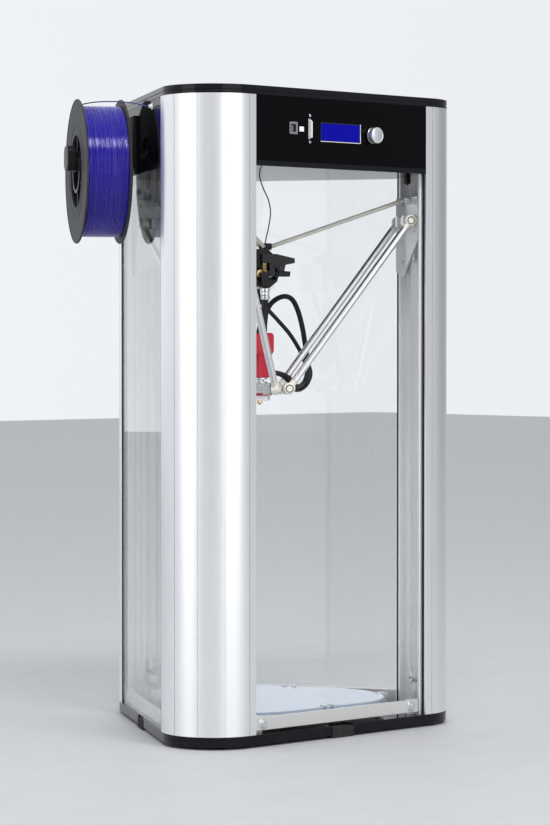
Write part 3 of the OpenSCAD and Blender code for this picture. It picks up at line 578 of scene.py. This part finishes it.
for letter, tower in zip(LETTERS, TOWER):
    column = Shape().prism(column_outline(), BASE_TOP, TOP_LOW, tower)
    column.make("column_" + letter, anodised, "root", None, 0, "corner_columns", "column_aluminium", 24)
    rails = Shape().prism(rail_outline(), BASE_TOP, TOP_LOW, tower)
    rails.make("rails_" + letter, rail_metal, "root", None, 0, "tower_rails", "rail_aluminium", 24)


def lip_shade_strips(letter, tower):
    """Black strips behind both lips of a column: painted shade for the dark gap behind each lip, not a real
    seal.
    """
    shade_strip = Shape()
    for side in (-60, 60):
        strip = [(COLUMN_R - 7.6, 9), (COLUMN_R - 3.05, 9), (COLUMN_R - 3.05, 12), (COLUMN_R - 7.6, 12)]
        if side < 0:
            strip = [(u, -v) for u, v in strip[::-1]]
        shade_strip.prism(strip, BASE_TOP, TOP_LOW, tower @ at(COLUMN_U, 0, 0) @ turned(side, "Z"))
    # The strips take the rubber finish, but they are painted shade that stands for the shadow gap behind
    # each lip.
    shade_strip.make("lip_shade_strip_" + letter, rubber, "root", None, 0, slot="rubber")


def ribbed_foot(side, face):
    """Rubber block with eight ribs on its outer side."""
    half = 19.8
    block = [(FACE_D - 17.8, half), (FACE_D - 17.8, -half)]
    for k in range(8):
        v = -18.8 + k * 35.6 / 7
        block += [(FACE_D, v - 0.8), (FACE_D + 0.6, v - 0.3), (FACE_D + 1, v + 0.3), (FACE_D + 1, v + 1.7),
                  (FACE_D + 0.6, v + 2.3), (FACE_D, v + 2.8)]
    foot = Shape().prism([(u, max(min(v, half), -half)) for u, v in block], 0, BASE_TOP - 2.5)
    foot.make("foot_" + side, rubber, "root", face, 0.4, "rubber_feet", "rubber")


def cross_bar(side, face):
    """Flat bar with a bracket behind and a bolt through each end."""
    bar = Shape().box((BAR_IN, -BAR_HALF, BAR_LOW), (BAR_OUT, BAR_HALF, BAR_HIGH))
    bar.make("cross_bar_" + side, bar_metal, "root", face, 0.7, "cross_bars", "bar_aluminium")
    plates, bolts = Shape(), Shape()
    for end in (-1, 1):
        spot = at(BAR_OUT, BOLT_V * end, BASE_TOP + 12)
        plates.box((BAR_IN - 3, BRACKET_V * end - 10, BASE_TOP),
                   (BAR_IN - 0.05, BRACKET_V * end + 10, BAR_HIGH + 0.5))
        hex_bolt(bolts, 5.3, spot @ ALONG_X, 2.6)
        bolts.disc(3, -8.5, 0.5, spot @ ALONG_X)
    plates.make("bar_bracket_" + side, sheet_metal, "root", face, 0.6, "bar_fixings", "steel_fixings")
    bolts.make("bar_bolt_" + side, steel, "root", face, 0.25, "bar_fixings", "steel_fixings")


# Painted shade: a black strip behind each lip of every column.
for letter, tower in zip(LETTERS, TOWER):
    lip_shade_strips(letter, tower)
for side, face in zip(SIDES, FACE):
    ribbed_foot(side, face)
    cross_bar(side, face)

for node in ("front_fascia", "side_fascias"):
    carried(node, acrylic)
carried("ceiling_plate", ceiling_black)
carried("side_panels", clear).visible_shadow = False
carried("panel_seals", rubber, 0.5)


# ---- Bed ----

bed_reach = 125 / math.sqrt(3)
Shape().prism(rounded_triangle(bed_reach, 104), BED_LOW, BED_TOP).make(
    "heated_plate", cast_metal, "root", CENTRE, 0.6, "bed_plate", "bed_aluminium")
Shape().prism(rounded_triangle(bed_reach, 103), BED_TOP + 0.02, GLASS_TOP).make(
    "glass_sheet", plate_glass, "root", CENTRE, 0.5, "bed_glass", "bed_glass")


def bed_clip(name, place, edge):
    """Clip with two fingers that grip plate and glass."""
    side = rounded([(edge - 9, GLASS_TOP + 2.5), (edge + 5, GLASS_TOP + 2.5), (edge + 5, BASE_TOP),
                    (edge - 9, BASE_TOP), (edge - 9, BED_LOW), (edge + 0.5, BED_LOW),
                    (edge + 0.5, GLASS_TOP), (edge - 9, GLASS_TOP)], 0.6, 3)
    clip = Shape()
    for v in (-9, 5):
        clip.prism(side, v, v + 4, turned(90, "X"))
    clip.make(name, steel, "root", place, 0.3, "bed_clamps", "steel_fixings")


for i in range(3):
    bed_clip("bed_clip_" + SIDES[i], FACE[i], bed_reach / 2 + 104)
    bed_clip("bed_clip_" + LETTERS[i], TOWER[i], bed_reach + 104)


# ---- Top box ----

board_u = FASCIA_D - 18
carried("display", satin_black)
Shape().box((FASCIA_D - 2.6, -40.2, 802.8), (FASCIA_D - 0.72, 31.2, 825.7)).make(
    "screen", screen_blue, "root", FACE[FRONT], 0.3, slot="display_blue")
rim = Shape()
rim.box((FASCIA_D - 2.6, -41.8, 801.1), (FASCIA_D - 0.3, 32.8, 801.9))
rim.box((FASCIA_D - 2.6, 32.0, 801.9), (FASCIA_D - 0.3, 32.8, 827.3))
rim.make("screen_rim", white, "root", FACE[FRONT], 0.15, slot="white_plastic")
Shape().box((board_u, -105, 793), (board_u + 1.6, 70, 835)).make(
    "front_board", board_green, "root", FACE[FRONT], 0.2, "control_board", "circuit_green")
encoder = Shape().lathe([(3.05, 1.6), (6.4, 1.6), (6.4, 8), (3.5, 8), (3.5, 17.3), (3.05, 17.5)],
                        at(board_u, KNOB_V, KNOB_Z) @ ALONG_X)
encoder.make("encoder_housing", steel, "root", FACE[FRONT], 0.2, "control_board", "steel_fixings")
slot_frame = Shape()
for low, high in (((-64.3, 803.5), (-63.3, 830.5)), ((-60.7, 803.5), (-59.7, 830.5)),
                  ((-63.3, 803.5), (-60.7, 804.8)), ((-63.3, 829.2), (-60.7, 830.5))):
    slot_frame.box((board_u - 3, *low), (FASCIA_D - 0.6, *high))
slot_frame.make("card_slot", steel, "root", FACE[FRONT], 0.15, "control_board", "steel_fixings")
screws = Shape()
for z in (799.5, 834.5):
    socket_screw(screws, 1.9, at(FASCIA_D - 0.2, -62, z) @ ALONG_X, 1.3)
screws.make("slot_screws", steel, "root", FACE[FRONT], 0.1, slot="steel_fixings")
Shape().box((board_u + 1.6, -80.5, 812.8), (FASCIA_D + 0.2, -72.5, 819.5)).make(
    "status_window", white, "root", FACE[FRONT], 0.5, "control_board", "white_plastic")
port = Shape()
for low, high in (((-98.5, 809), (-95.5, 825)), ((-87, 809), (-84, 825)), ((-95.5, 809), (-87, 812)),
                  ((-95.5, 822), (-87, 825))):
    port.box((board_u + 1.6, *low), (FASCIA_D + 0.4, *high))
port.box((board_u + 1.6, -95.5, 812), (FASCIA_D - 9, -87, 822))
port.make("data_port", shield, "root", FACE[FRONT], 0.35, "control_board", "steel_fixings")
Shape().box((FASCIA_D - 9, -92.6, 813.4), (FASCIA_D - 1.5, -90.4, 820.6)).make(
    "port_tongue", shield, "root", FACE[FRONT], 0.2, slot="white_plastic")

card = rounded([(board_u - 1.6, 805), (FASCIA_D + 4.5, 805), (FASCIA_D + 4.5, 826), (FASCIA_D + 1.5, 829),
                (board_u - 1.6, 829)], 0.9, 3)
Shape().prism(card, 60.95, 63.05, turned(90, "X")).make(
    "card_body", white, "memory_card", FACE[FRONT], 0.2, "memory_card", "card_white")
carried("encoder_shaft", steel, 0.2)
knob_start, knob_end = 1.6, FACE_D + 12 - FASCIA_D
knob = Shape().lathe([(3.05, knob_start), (10.4, knob_start), (11, knob_start + 0.6), (11, knob_start + 2),
                      (10.7, knob_start + 2.3), (10.7, knob_start + 2.8), (11, knob_start + 3.1),
                      (11, knob_end - 1.4), (10.6, knob_end - 0.6), (10, knob_end - 0.1), (9.4, knob_end),
                      (8.7, knob_end - 0.35), (8.2, knob_end - 0.1), (0, knob_end - 0.1), (0, 9.8),
                      (3.05, 9.8)], ALONG_X, 96)
knob.make("knob_body", turned_metal, "control_knob", FACE[FRONT] @ at(FASCIA_D, KNOB_V, KNOB_Z), 0,
          "control_knob", "spun_aluminium")

carried("power_inlet", moulded, 0.6)
carried("power_rocker", red, 0.8)
prongs = Shape()
for y, z in ((66, 811.5), (75, 811.5), (70.5, 818.5)):
    prongs.box((FASCIA_D - 18, y - 1, z - 2), (FASCIA_D - 6, y + 1, z + 2))
prongs.make("inlet_prongs", steel, "root", FACE[REAR], 0.4, slot="steel_fixings")
inlet_screws = Shape()
for z in (801.5, 828.5):
    socket_screw(inlet_screws, 2.2, at(FASCIA_D + 2.5, 54.5, z) @ ALONG_X, 0.9)
inlet_screws.make("inlet_screws", dark_steel, "root", FACE[REAR], 0.1, slot="steel_fixings")
carried("mainboard", board_green, 0.4)
carried("power_supply", case_grey, 0.8)
carried("drive_motors", motor_black, 1.2)
carried("endstops", moulded, 0.4)


# ---- Drives ----

def belt_loop():
    """Toothed belt round both pulleys, in a tower's frame."""
    run = PULLEY_Z - IDLER_Z
    mean, outer, root, tip = 7.0, 7.7, 6.95, 6.32
    bend = math.pi * mean
    total = 2 * (run + bend)
    teeth = round(total / 2)
    rows = []
    for k in range(teeth):
        for share, r in ((0.0, root), (0.28, root), (0.38, tip), (0.62, tip), (0.72, root)):
            s = (k + share) * total / teeth
            if s < run:
                rows.append((s, r, 0))
            elif s < run + bend:
                rows.append((run, r, (s - run) / bend * 180))
            elif s < 2 * run + bend:
                rows.append((2 * run + bend - s, r, 180))
            else:
                rows.append((0, r, 180 + (s - 2 * run - bend) / bend * 180))
    points, faces = [], []
    for up, r, turn in rows:
        a = math.radians(turn)
        for radius in (r, outer):
            for u in (BELT_IN, BELT_OUT):
                points.append((u, radius * math.cos(a), IDLER_Z + up + radius * math.sin(a)))
    n = len(rows)
    for k in range(n):
        a, b = 4 * k, 4 * ((k + 1) % n)
        faces += [[a, a + 1, b + 1, b], [a + 2, b + 2, b + 3, a + 3], [a, b, b + 2, a + 2],
                  [a + 1, a + 3, b + 3, b + 1]]
    return points, faces


DRUM = [(0, -1.3), (8.3, -1.3), (8.6, -1.0), (8.6, -0.5), (8.3, -0.3), (6, -0.3), (6, 6.3), (8.3, 6.3),
        (8.6, 6.5), (8.6, 7), (8.3, 7.3), (0, 7.3)]


def drive(letter, tower):
    """Belt, both pulleys, the idler's plate and block, and the bolts in the web."""
    Shape().add(*belt_loop()).make("belt_" + letter, belt_pale, "root", tower, 0, "drive_belts",
                                   "belt_rubber", 20)
    motor_shaft = Shape().lathe(DRUM, ALONG_X).disc(2.5, -3, -1.2, ALONG_X).disc(2.5, 7.2, 26.5, ALONG_X)
    motor_shaft.make("drive_drum_" + letter, turned_metal, "drive_pulley_" + letter,
                     tower @ at(BELT_IN, 0, PULLEY_Z), 0, "drive_pulley_" + letter, "pulley_metal")
    idler = Shape().lathe([(max(r, 2.55), h) for r, h in DRUM], ALONG_X)
    idler.make("idler_drum_" + letter, turned_metal, "idler_pulley_" + letter,
               tower @ at(BELT_IN, 0, IDLER_Z), 0, "idler_pulley_" + letter, "pulley_metal")
    fork = Shape().box((WEB_U - 1.2, -13, IDLER_Z - 22), (WEB_U, 13, IDLER_Z + 13))
    fork.disc(2.5, 215.5, 226.5, at(0, 0, IDLER_Z) @ ALONG_X)
    hex_bolt(fork, 3.4, at(216.7, 0, IDLER_Z) @ turned(-90, "Y"), 1.8, False)
    fork.make("idler_plate_" + letter, steel, "root", tower, 0.4, "idler_brackets", "steel_fixings")
    Shape().box((220.5, -6, IDLER_Z - 22), (226.25, 6, IDLER_Z - 11)).make(
        "tension_block_" + letter, white, "root", tower, 0.8, "idler_brackets", "white_plastic")
    web_bolts = Shape()
    for v in (-24, 24):
        hex_bolt(web_bolts, 3.6, at(WEB_U, v, 748) @ turned(-90, "Y"), 3)
    web_bolts.make("web_bolts_" + letter, dark_steel, "root", tower, 0.3, slot="steel_fixings")


for letter, tower in zip(LETTERS, TOWER):
    drive(letter, tower)


# ---- Spool ----

SPOOL_DEEP, SPOOL_WIDE = FACE_D + 17, 63.5
spool_place = FACE[LEFT] @ at(SPOOL_DEEP, SPOOL_V, SPOOL_Z)


def flange_profile(outside, inside):
    """Thin flange with a rolled rim, a raised ring and a hub opening."""
    out = 1 if outside > inside else -1
    mid = outside - out * 0.5
    return [(51, inside), (97, inside), (98.6, inside), (99.7, inside + out * 0.6),
            (100, inside + out * 1.4), (99.6, outside - out * 0.3), (98.6, outside), (97.2, outside),
            (96.6, mid), (66, mid), (65.2, outside), (61.8, outside), (61, mid), (54, mid), (53, outside),
            (50.6, outside), (50, outside - out * 0.6), (50, inside)]


flanges = Shape()
flanges.lathe(flange_profile(0, 3), ALONG_X, 160)
flanges.lathe(flange_profile(SPOOL_WIDE, SPOOL_WIDE - 3), ALONG_X, 160)
flanges.make("spool_flanges", flange, "spool", spool_place, 0, "spool", "spool_grey", 30)
core = Shape().lathe([(26, 0), (30, 0), (30, 29.75), (50, 29.75), (50, 3), (51.9, 3), (51.9, 60.5),
                      (50, 60.5), (50, 33.75), (30, 33.75), (30, SPOOL_WIDE), (26, SPOOL_WIDE)], ALONG_X, 96)
for k in range(6):
    core.box((2, -1.2, 29), (29, 1.2, 50.2), turned(60 * k, "X"))
    core.box((34.5, -1.2, 29), (SPOOL_WIDE - 2, 1.2, 50.2), turned(60 * k, "X"))
core.make("spool_core", hub_black, "spool", spool_place, 0, "spool", "spool_grey", 30)


def wound_filament():
    """Outer layer of the winding: one strand whose turns cross each other here and there."""
    turns, r, pitch = 31, 0.875, 1.8
    route = []
    for k in range(turns * 48):
        a = 2 * math.pi * k / 48
        lap = k / 48
        wave = 0.55 * math.sin(3.1 * lap + 1.3 * math.sin(a + lap)) * math.sin(a + 0.7 * lap)
        reach = 89.7 + 0.35 * math.sin(2.3 * lap + 2 * a)
        route.append((3.9 + pitch * lap + wave, reach * math.cos(a), reach * math.sin(a)))
    return Shape().tube(route, r, 8)


wound_filament().make("winding_strand", winding, "spool", spool_place, 0, "filament_winding",
                      "filament_blue", 80)
Shape().lathe([(52, 3.05), (89.1, 3.05), (89.1, 60.45), (52, 60.45)], ALONG_X, 128).make(
    "winding_mass", winding, "spool", spool_place, 0, "filament_winding", "filament_blue")

post_end = SPOOL_DEEP + SPOOL_WIDE + 2
holder_arm = Shape()
holder_arm.box((FASCIA_D, SPOOL_V - 30, 773), (FASCIA_D + 5, SPOOL_V + 30, 846))
holder_arm.disc(22, FASCIA_D + 4.5, SPOOL_DEEP - 3, at(0, SPOOL_V, SPOOL_Z + 12) @ ALONG_X, 64)
holder_arm.disc(13.5, SPOOL_DEEP - 3.5, post_end, at(0, SPOOL_V, SPOOL_Z + 12) @ ALONG_X, 64)
holder_arm.make("spool_arm", moulded, "root", FACE[LEFT], 1.0, "spool_holder", "holder_black")
lug = rounded([(-17, -12), (-10, -18), (10, -18), (17, -10), (17, 10), (10, 18), (-10, 18), (-17, 12)], 3, 4)
Shape().prism(lug, post_end, post_end + 12, at(0, SPOOL_V, SPOOL_Z + 18) @ ALONG_X).make(
    "holder_lug", moulded, "root", FACE[LEFT], 1.2, "spool_holder", "holder_black")
grommet = Shape().lathe([(1.6, -7), (4, -7), (4, 0), (4.6, 0), (4.6, 0.8), (4.2, 1.2), (2.8, 1.4),
                         (2.5, 1.8), (2.3, 5), (1.6, 5)], ALONG_X, 48)
grommet.make("strand_grommet", white, "root", FACE[LEFT] @ at(FASCIA_D, INLET_V, INLET_Z), 0,
             "inlet_grommet", "white_plastic")


# ---- Carriages and arms ----

# An outline's X and Y become the sideways and upright direction of a tower's frame.
UPRIGHT_FACE = Matrix(((0, 0, 1, 0), (1, 0, 0, 0), (0, 1, 0, 0), (0, 0, 0, 1)))
PLATE_U = JOINT_U + 8.5
PLATE_UP = 34


def carriage(letter, tower):
    """Bent plate with a wing, the block for the joint axle, screws and slider."""
    body = "carriage_" + letter
    top = CARRIAGE_Z + PLATE_UP
    outline = rounded([(-39, top), (-39, CARRIAGE_Z - 26), (43.5, CARRIAGE_Z - 80), (43.5, top)], 3.5)
    plate = Shape().prism(outline, PLATE_U, PLATE_U + 2.5, UPRIGHT_FACE)
    wing = rounded([(PLATE_U - 9, CARRIAGE_Z - 70), (PLATE_U + 2.4, CARRIAGE_Z - 76),
                    (PLATE_U + 2.4, top), (PLATE_U - 9, top)], 2.5)
    plate.prism(wing, -43.5, -41, turned(90, "X"))
    plate.make(body + "_bracket", sheet_metal, body, tower, 0.5, body, "bracket_aluminium")
    block = Shape()
    for side in (-1, 1):
        low, high = sorted((side * 22, side * 12))
        block.box((200, low, CARRIAGE_Z - 8), (PLATE_U, high, CARRIAGE_Z + 8))
    block.box((203, -12, CARRIAGE_Z - 5), (PLATE_U, 12, CARRIAGE_Z + 5))
    block.box((PLATE_U - 6, -5, top - 9), (PLATE_U, 5, top - 1))
    block.make(body + "_block", steel, body, tower, 1.0, body, "bracket_aluminium")
    heads = Shape()
    for v, z in ((32, 25), (-30, -14), (32, -56)):
        socket_screw(heads, 2.4, at(PLATE_U + 0.1, v, CARRIAGE_Z + z) @ turned(-90, "Y"), 2)
    heads.make(body + "_screws", steel, body, tower, 0.1, slot="steel_fixings")
    carried("carriage_slider_" + letter, steel, 0.4)


def arm(letter, pair, side, tower):
    """Tube with a round joint end, its ring and its cap at both ends."""
    place = tower @ at(EFFECTOR_U, side * ARM_HALF, EFFECTOR_Z) @ turned(math.degrees(ARM_TILT), "Y")
    tube = Shape().lathe([(4.1, 13), (4.7, 13), (5, 13.4), (5, ARM_LEN - 13.4), (4.7, ARM_LEN - 13),
                          (4.1, ARM_LEN - 13)], None, 40)
    tube.make(f"arm_{letter}_{pair}", tube_metal, "effector", place, 0, "arm_tubes", "arm_aluminium")
    ends, rings, caps = Shape(), Shape(), Shape()
    for far, flip in ((0, Matrix.Identity(4)), (ARM_LEN, turned(180, "Y"))):
        local = at(0, 0, far) @ flip
        ends.lathe([(0, -4.5), (7.5, -4.5), (8.1, -3.9), (8.1, 3.9), (7.5, 4.5), (0, 4.5)],
                   local @ ALONG_Y, 48)
        ends.lathe([(0, 4), (4.6, 4), (4.6, 12.8), (0, 12.8)], local, 32)
        outward = local @ (ALONG_Y if side > 0 else turned(90, "X"))
        ends.lathe([(5.6, 4.4), (7, 4.4), (7, 5.0), (6.7, 5.4), (5.9, 5.4), (5.6, 5.0)], outward, 48)
        ends.lathe([(0, 4.4), (4.2, 4.4), (4.2, 5.2), (3.9, 5.5), (1.3, 5.5), (1.1, 5.2), (0, 5.2)],
                   outward, 40)
        rings.lathe([(4.25, 4.4), (5.55, 4.4), (5.55, 4.7), (4.25, 4.7)], outward, 40)
        caps.disc(1.05, 5.1, 5.45, outward, 20)
    rings.make(f"joint_ring_{letter}_{pair}", dark_steel, "effector", place, 0, "arm_joints",
               "steel_fixings")
    ends.make(f"joint_{letter}_{pair}", cream, "effector", place, 0.35, "arm_joints", "cream_plastic")
    caps.make(f"joint_cap_{letter}_{pair}", steel, "effector", place, 0.1, "arm_joints", "steel_fixings")


def joint_axles(letter, tower):
    """Axles through the joints, on the effector and on the carriage."""
    axles = Shape()
    for u, z in ((EFFECTOR_U, EFFECTOR_Z), (JOINT_U, CARRIAGE_Z)):
        axles.disc(3, -ARM_HALF - 4, ARM_HALF + 4, at(u, 0, z) @ ALONG_Y)
        for side in (-1, 1):
            low, high = sorted((side * 24, side * 29.2))
            axles.disc(4.6, low, high, at(u, 0, z) @ ALONG_Y)
    axles.make("axles_" + letter, steel, "effector", tower, 0.2, "arm_joints", "steel_fixings")


for letter, tower in zip(LETTERS, TOWER):
    carriage(letter, tower)
    for pair, side in enumerate((-1, 1)):
        arm(letter, pair, side, tower)
    joint_axles(letter, tower)

hub = Shape().lathe([(12.5, -5), (31, -5), (31, 1), (12.5, 1)], at(0, 0, EFFECTOR_Z), 96)
hub.make("effector_ring", sheet_metal, "effector", CENTRE, 0.6, "effector_plate", "bracket_aluminium")
for letter, tower in zip(LETTERS, TOWER):
    lugs = Shape()
    for side in (-1, 1):
        low, high = sorted((side * 17, side * 27))
        lugs.box((EFFECTOR_U - 10, low, EFFECTOR_Z - 8), (EFFECTOR_U + 5, high, EFFECTOR_Z + 8))
    lugs.box((EFFECTOR_U - 10, -17, EFFECTOR_Z - 6), (EFFECTOR_U + 2, 17, EFFECTOR_Z + 6))
    socket_screw(lugs, 2.6, at(EFFECTOR_U - 3, 0, EFFECTOR_Z + 6), 2.4)
    lugs.make("effector_lug_" + letter, steel, "effector", tower, 0.9, "effector_plate",
              "bracket_aluminium")

# Elastic cords go from the ring above the extruder up to each carriage.
RING_U, RING_Z, CORD_START, CORD_GAP, CORD_RISE = 8, 666, 9, 7.4, 66
ring = TOWER[TOWER_B] @ Vector((RING_U / 1000, 0, 0))
for letter, tower in zip(LETTERS, TOWER):
    start = ring * 1000 + (tower.to_3x3() @ Vector((CORD_START, 0, 0)))
    end = (tower @ Vector(((PLATE_U - CORD_GAP) / 1000, 0, 0))) * 1000
    route = [start.lerp(end, share) + Vector((0, 0, RING_Z + CORD_RISE * share))
             for share in (0, 0.25, 0.5, 0.75, 1)]
    route = smooth(route, 6)
    stretch = Shape().tube(route, 3, 20)
    piece = stretch.make("elastic_" + letter, cord_cream, "effector", None, 0, "elastic_cords",
                         "cord_cream", 60)


# ---- Print head and extruder ----

HEAD = TOWER[TOWER_B]
NOZZLE_Z = EFFECTOR_Z - 23
SINK_Z, FIN_COUNT, FIN_STEP = 473, 9, 5.5
fins = [(0, SINK_Z - 9.5), (3, SINK_Z - 9.5), (3, SINK_Z - 3), (14, SINK_Z - 3), (14, SINK_Z)]
for k in range(FIN_COUNT):
    z = SINK_Z + FIN_STEP * k
    fins += [(6, z), (6, z + 3), (10.6, z + 3), (10.8, z + 3.2), (10.8, z + 5.3), (10.6, z + FIN_STEP)]
fins += [(6, SINK_Z + FIN_COUNT * FIN_STEP), (6, SINK_Z + 57), (0, SINK_Z + 57)]
heat_sink = Shape().lathe(fins, None, 72)
heat_sink.make("heat_sink", turned_metal, "effector", HEAD, 0, "hotend", "hotend_metal", 30)
heater = Shape().box((-10, -8, NOZZLE_Z + 6), (10, 8, NOZZLE_Z + 17.5))
heater.disc(3, 9.5, 14, at(0, 5.5, NOZZLE_Z + 9) @ ALONG_X)
heater.disc(2.4, 9.5, 14, at(0, -3, NOZZLE_Z + 9) @ ALONG_X)
heater.make("heater_block", sheet_metal, "effector", HEAD, 0.5, "hotend", "hotend_metal")
nozzle = Shape().lathe([(0, NOZZLE_Z), (0.9, NOZZLE_Z), (3, NOZZLE_Z + 2.4), (4, NOZZLE_Z + 3),
                        (4, NOZZLE_Z + 6), (0, NOZZLE_Z + 6)], None, 6)
nozzle.make("nozzle_tip", brass, "effector", HEAD, 0.15, "hotend", "gear_brass", 20)


def soft_square(half_x, half_y, steps=96, power=7):
    """Square outline with sides that run smoothly into round corners."""
    out = []
    for k in range(steps):
        a = 2 * math.pi * k / steps
        c, t = math.cos(a), math.sin(a)
        r = (abs(c / half_x) ** power + abs(t / half_y) ** power) ** (-1 / power)
        out.append((r * c, r * t))
    return out


shroud = Shape()
levels = ((484, 11.6, 11.6), (485, 12.3, 12.3), (511, 12.3, 12.3), (516, 13.2, 13.4), (520, 15.0, 15.3),
          (523, 15.25, 15.5), (541.5, 15.25, 15.5), (544.5, 14.4, 14.6), (546, 12.6, 12.8))
shroud.loft([[(x + 0.25, y, z) for x, y in soft_square(wide, deep)] for z, wide, deep in levels])
FAN_Z, FAN_HOLE = 530, 14
hoop = []
for x, y in soft_square(15.5, 15.8):
    to_hole = FAN_HOLE / math.hypot(x, y)
    hoop.append([(-14, x, FAN_Z + y), (-25.4, x, FAN_Z + y), (-26, x * 0.97, FAN_Z + y * 0.97),
                 (-26, x * to_hole, FAN_Z + y * to_hole), (-14, x * to_hole, FAN_Z + y * to_hole)])
shroud.loft(hoop, True)
shroud.lathe([(14.5, NOZZLE_Z + 13), (17, NOZZLE_Z + 13), (17, EFFECTOR_Z - 5), (14.5, EFFECTOR_Z - 5)])
shroud.make("fan_duct", red, "effector", CENTRE, 0.3, "fan_shroud", "shroud_red")
carried("fan_rotor", satin_black, 0.15)
carried("extruder_body", moulded, 0.7)
carried("idler_lever", satin_black, 0.6)
carried("drive_gear", brass, 0.1)
carried("idler_bearing", steel, 0.3)

body_screws = Shape()
for u, z in ((-17, 618), (-17, 656), (20, 641), (27, 628)):
    socket_screw(body_screws, 2.6, at(u, -9, z) @ turned(90, "X"), 2.2)
socket_screw(body_screws, 3.6, at(27, -18.2, 636) @ turned(90, "X"), 2.3)
body_screws.make("extruder_screws", dark_steel, "effector", HEAD, 0.1, slot="steel_fixings")
stepper = Shape()
square = rounded([(-19.9, 607), (22.1, 607), (22.1, 649), (-19.9, 649)], 3.5)
for low, high in ((9, 15), (31, 37)):
    stepper.prism(square, -high, -low, turned(90, "X"))
stepper.make("feed_motor_caps", sheet_metal, "effector", HEAD, 0.5, "extruder_motor", "motor_black")
square = rounded([(-19.3, 607.6), (21.5, 607.6), (21.5, 648.4), (-19.3, 648.4)], 5)
Shape().prism(square, -31, -15, turned(90, "X")).make(
    "feed_motor_core", motor_black, "effector", HEAD, 0.2, "extruder_motor", "motor_black")
SPRING_Z, SPRING_HIGH, SPRING_TURNS, SPRING_STEPS = 630.6, 11.8, 6, 24
coil = []
for k in range(SPRING_TURNS * SPRING_STEPS + 1):
    a = 2 * math.pi * k / SPRING_STEPS
    up = SPRING_HIGH * k / (SPRING_TURNS * SPRING_STEPS)
    coil.append((4 + 3.2 * math.cos(a), -14 + 3.2 * math.sin(a), SPRING_Z + up))
coil_piece = Shape().tube(coil, 0.55, 10).make(
    "pressure_spring", brass, "effector", HEAD, 0, "lever_spring", "spring_brass", 60)
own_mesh(coil_piece)
clamp = Shape().lathe([(4.6, 592), (6.2, 592), (6.4, 592.5), (6.4, 597), (5.6, 598), (5.6, 603), (6.6, 604),
                       (6.6, 607.6), (4.6, 607.6)], at(8, 0, 0), 32)
clamp.make("tube_fitting", steel, "effector", HEAD, 0, slot="steel_fixings")


# ---- Studio ----

def soft_light(name, spot, target, size, watts):
    data = bpy.data.lights.new(name, "AREA")
    data.shape = "RECTANGLE"
    data.size, data.size_y = size
    data.energy = watts
    lamp = bpy.data.objects.new(name, data)
    lamp.location = spot
    lamp.rotation_euler = (Vector(target) - Vector(spot)).to_track_quat("-Z", "Y").to_euler()
    bpy.context.scene.collection.objects.link(lamp)


soft_light("right_box", (-0.4, -8.0, 2.0), (0, 0, 0.75), (6.0, 4.8), 120)
soft_light("left_box", (-8.4, 1.2, 2.0), (0, 0, 0.75), (4.8, 4.8), 104)
soft_light("top_box", (-1.1, -2.4, 3.8), (-0.15, 0, 0.7), (2.6, 1.0), 95)

floor_shape = Shape().prism([(-12000, -12000), (12000, -12000), (12000, 12000), (-12000, 12000)], -20, 0)
floor_mesh = bpy.data.meshes.new("floor")
floor_mesh.from_pydata([tuple(p / 1000) for p in floor_shape.points], [], floor_shape.faces)
floor = bpy.data.objects.new("floor", floor_mesh)
floor.data.materials.append(finish("pale_floor", (0.56, 0.565, 0.575), rough=0.55, grain=40, bump=0.0))
bpy.context.scene.collection.objects.link(floor)


def studio_world():
    """Pale surroundings, darker below the horizon and dim on the right-hand side."""
    world = bpy.data.worlds.new("studio")
    world.use_nodes = True
    background = world.node_tree.nodes["Background"]
    new = world.node_tree.nodes.new
    link = world.node_tree.links.new
    split = new("ShaderNodeSeparateXYZ")
    link(new("ShaderNodeTexCoord").outputs["Generated"], split.inputs[0])

    def scaled(axis, low, high, to_low, to_high):
        node = new("ShaderNodeMapRange")
        node.inputs["From Min"].default_value = low
        node.inputs["From Max"].default_value = high
        node.inputs["To Min"].default_value = to_low
        node.inputs["To Max"].default_value = to_high
        link(split.outputs[axis], node.inputs["Value"])
        return node.outputs[0]

    ramp = new("ShaderNodeValToRGB")
    floor_end, sky_end = ramp.color_ramp.elements
    floor_end.color = (0.5, 0.53, 0.58, 1)
    sky_end.color = (0.84, 0.86, 0.89, 1)
    sky_end.position = 0.3
    link(scaled("Z", -1, 1, 0, 1), ramp.inputs["Fac"])
    link(ramp.outputs["Color"], background.inputs["Color"])
    strength = new("ShaderNodeMath")
    strength.operation = "MULTIPLY"
    link(scaled("Y", -1, 1, 0.6, 1.08), strength.inputs[0])
    link(scaled("X", 0.76, 1, 1, 0.4), strength.inputs[1])
    link(strength.outputs[0], background.inputs["Strength"])
    return world


bpy.context.scene.world = studio_world()
bpy.context.scene.view_settings.view_transform = "Standard"
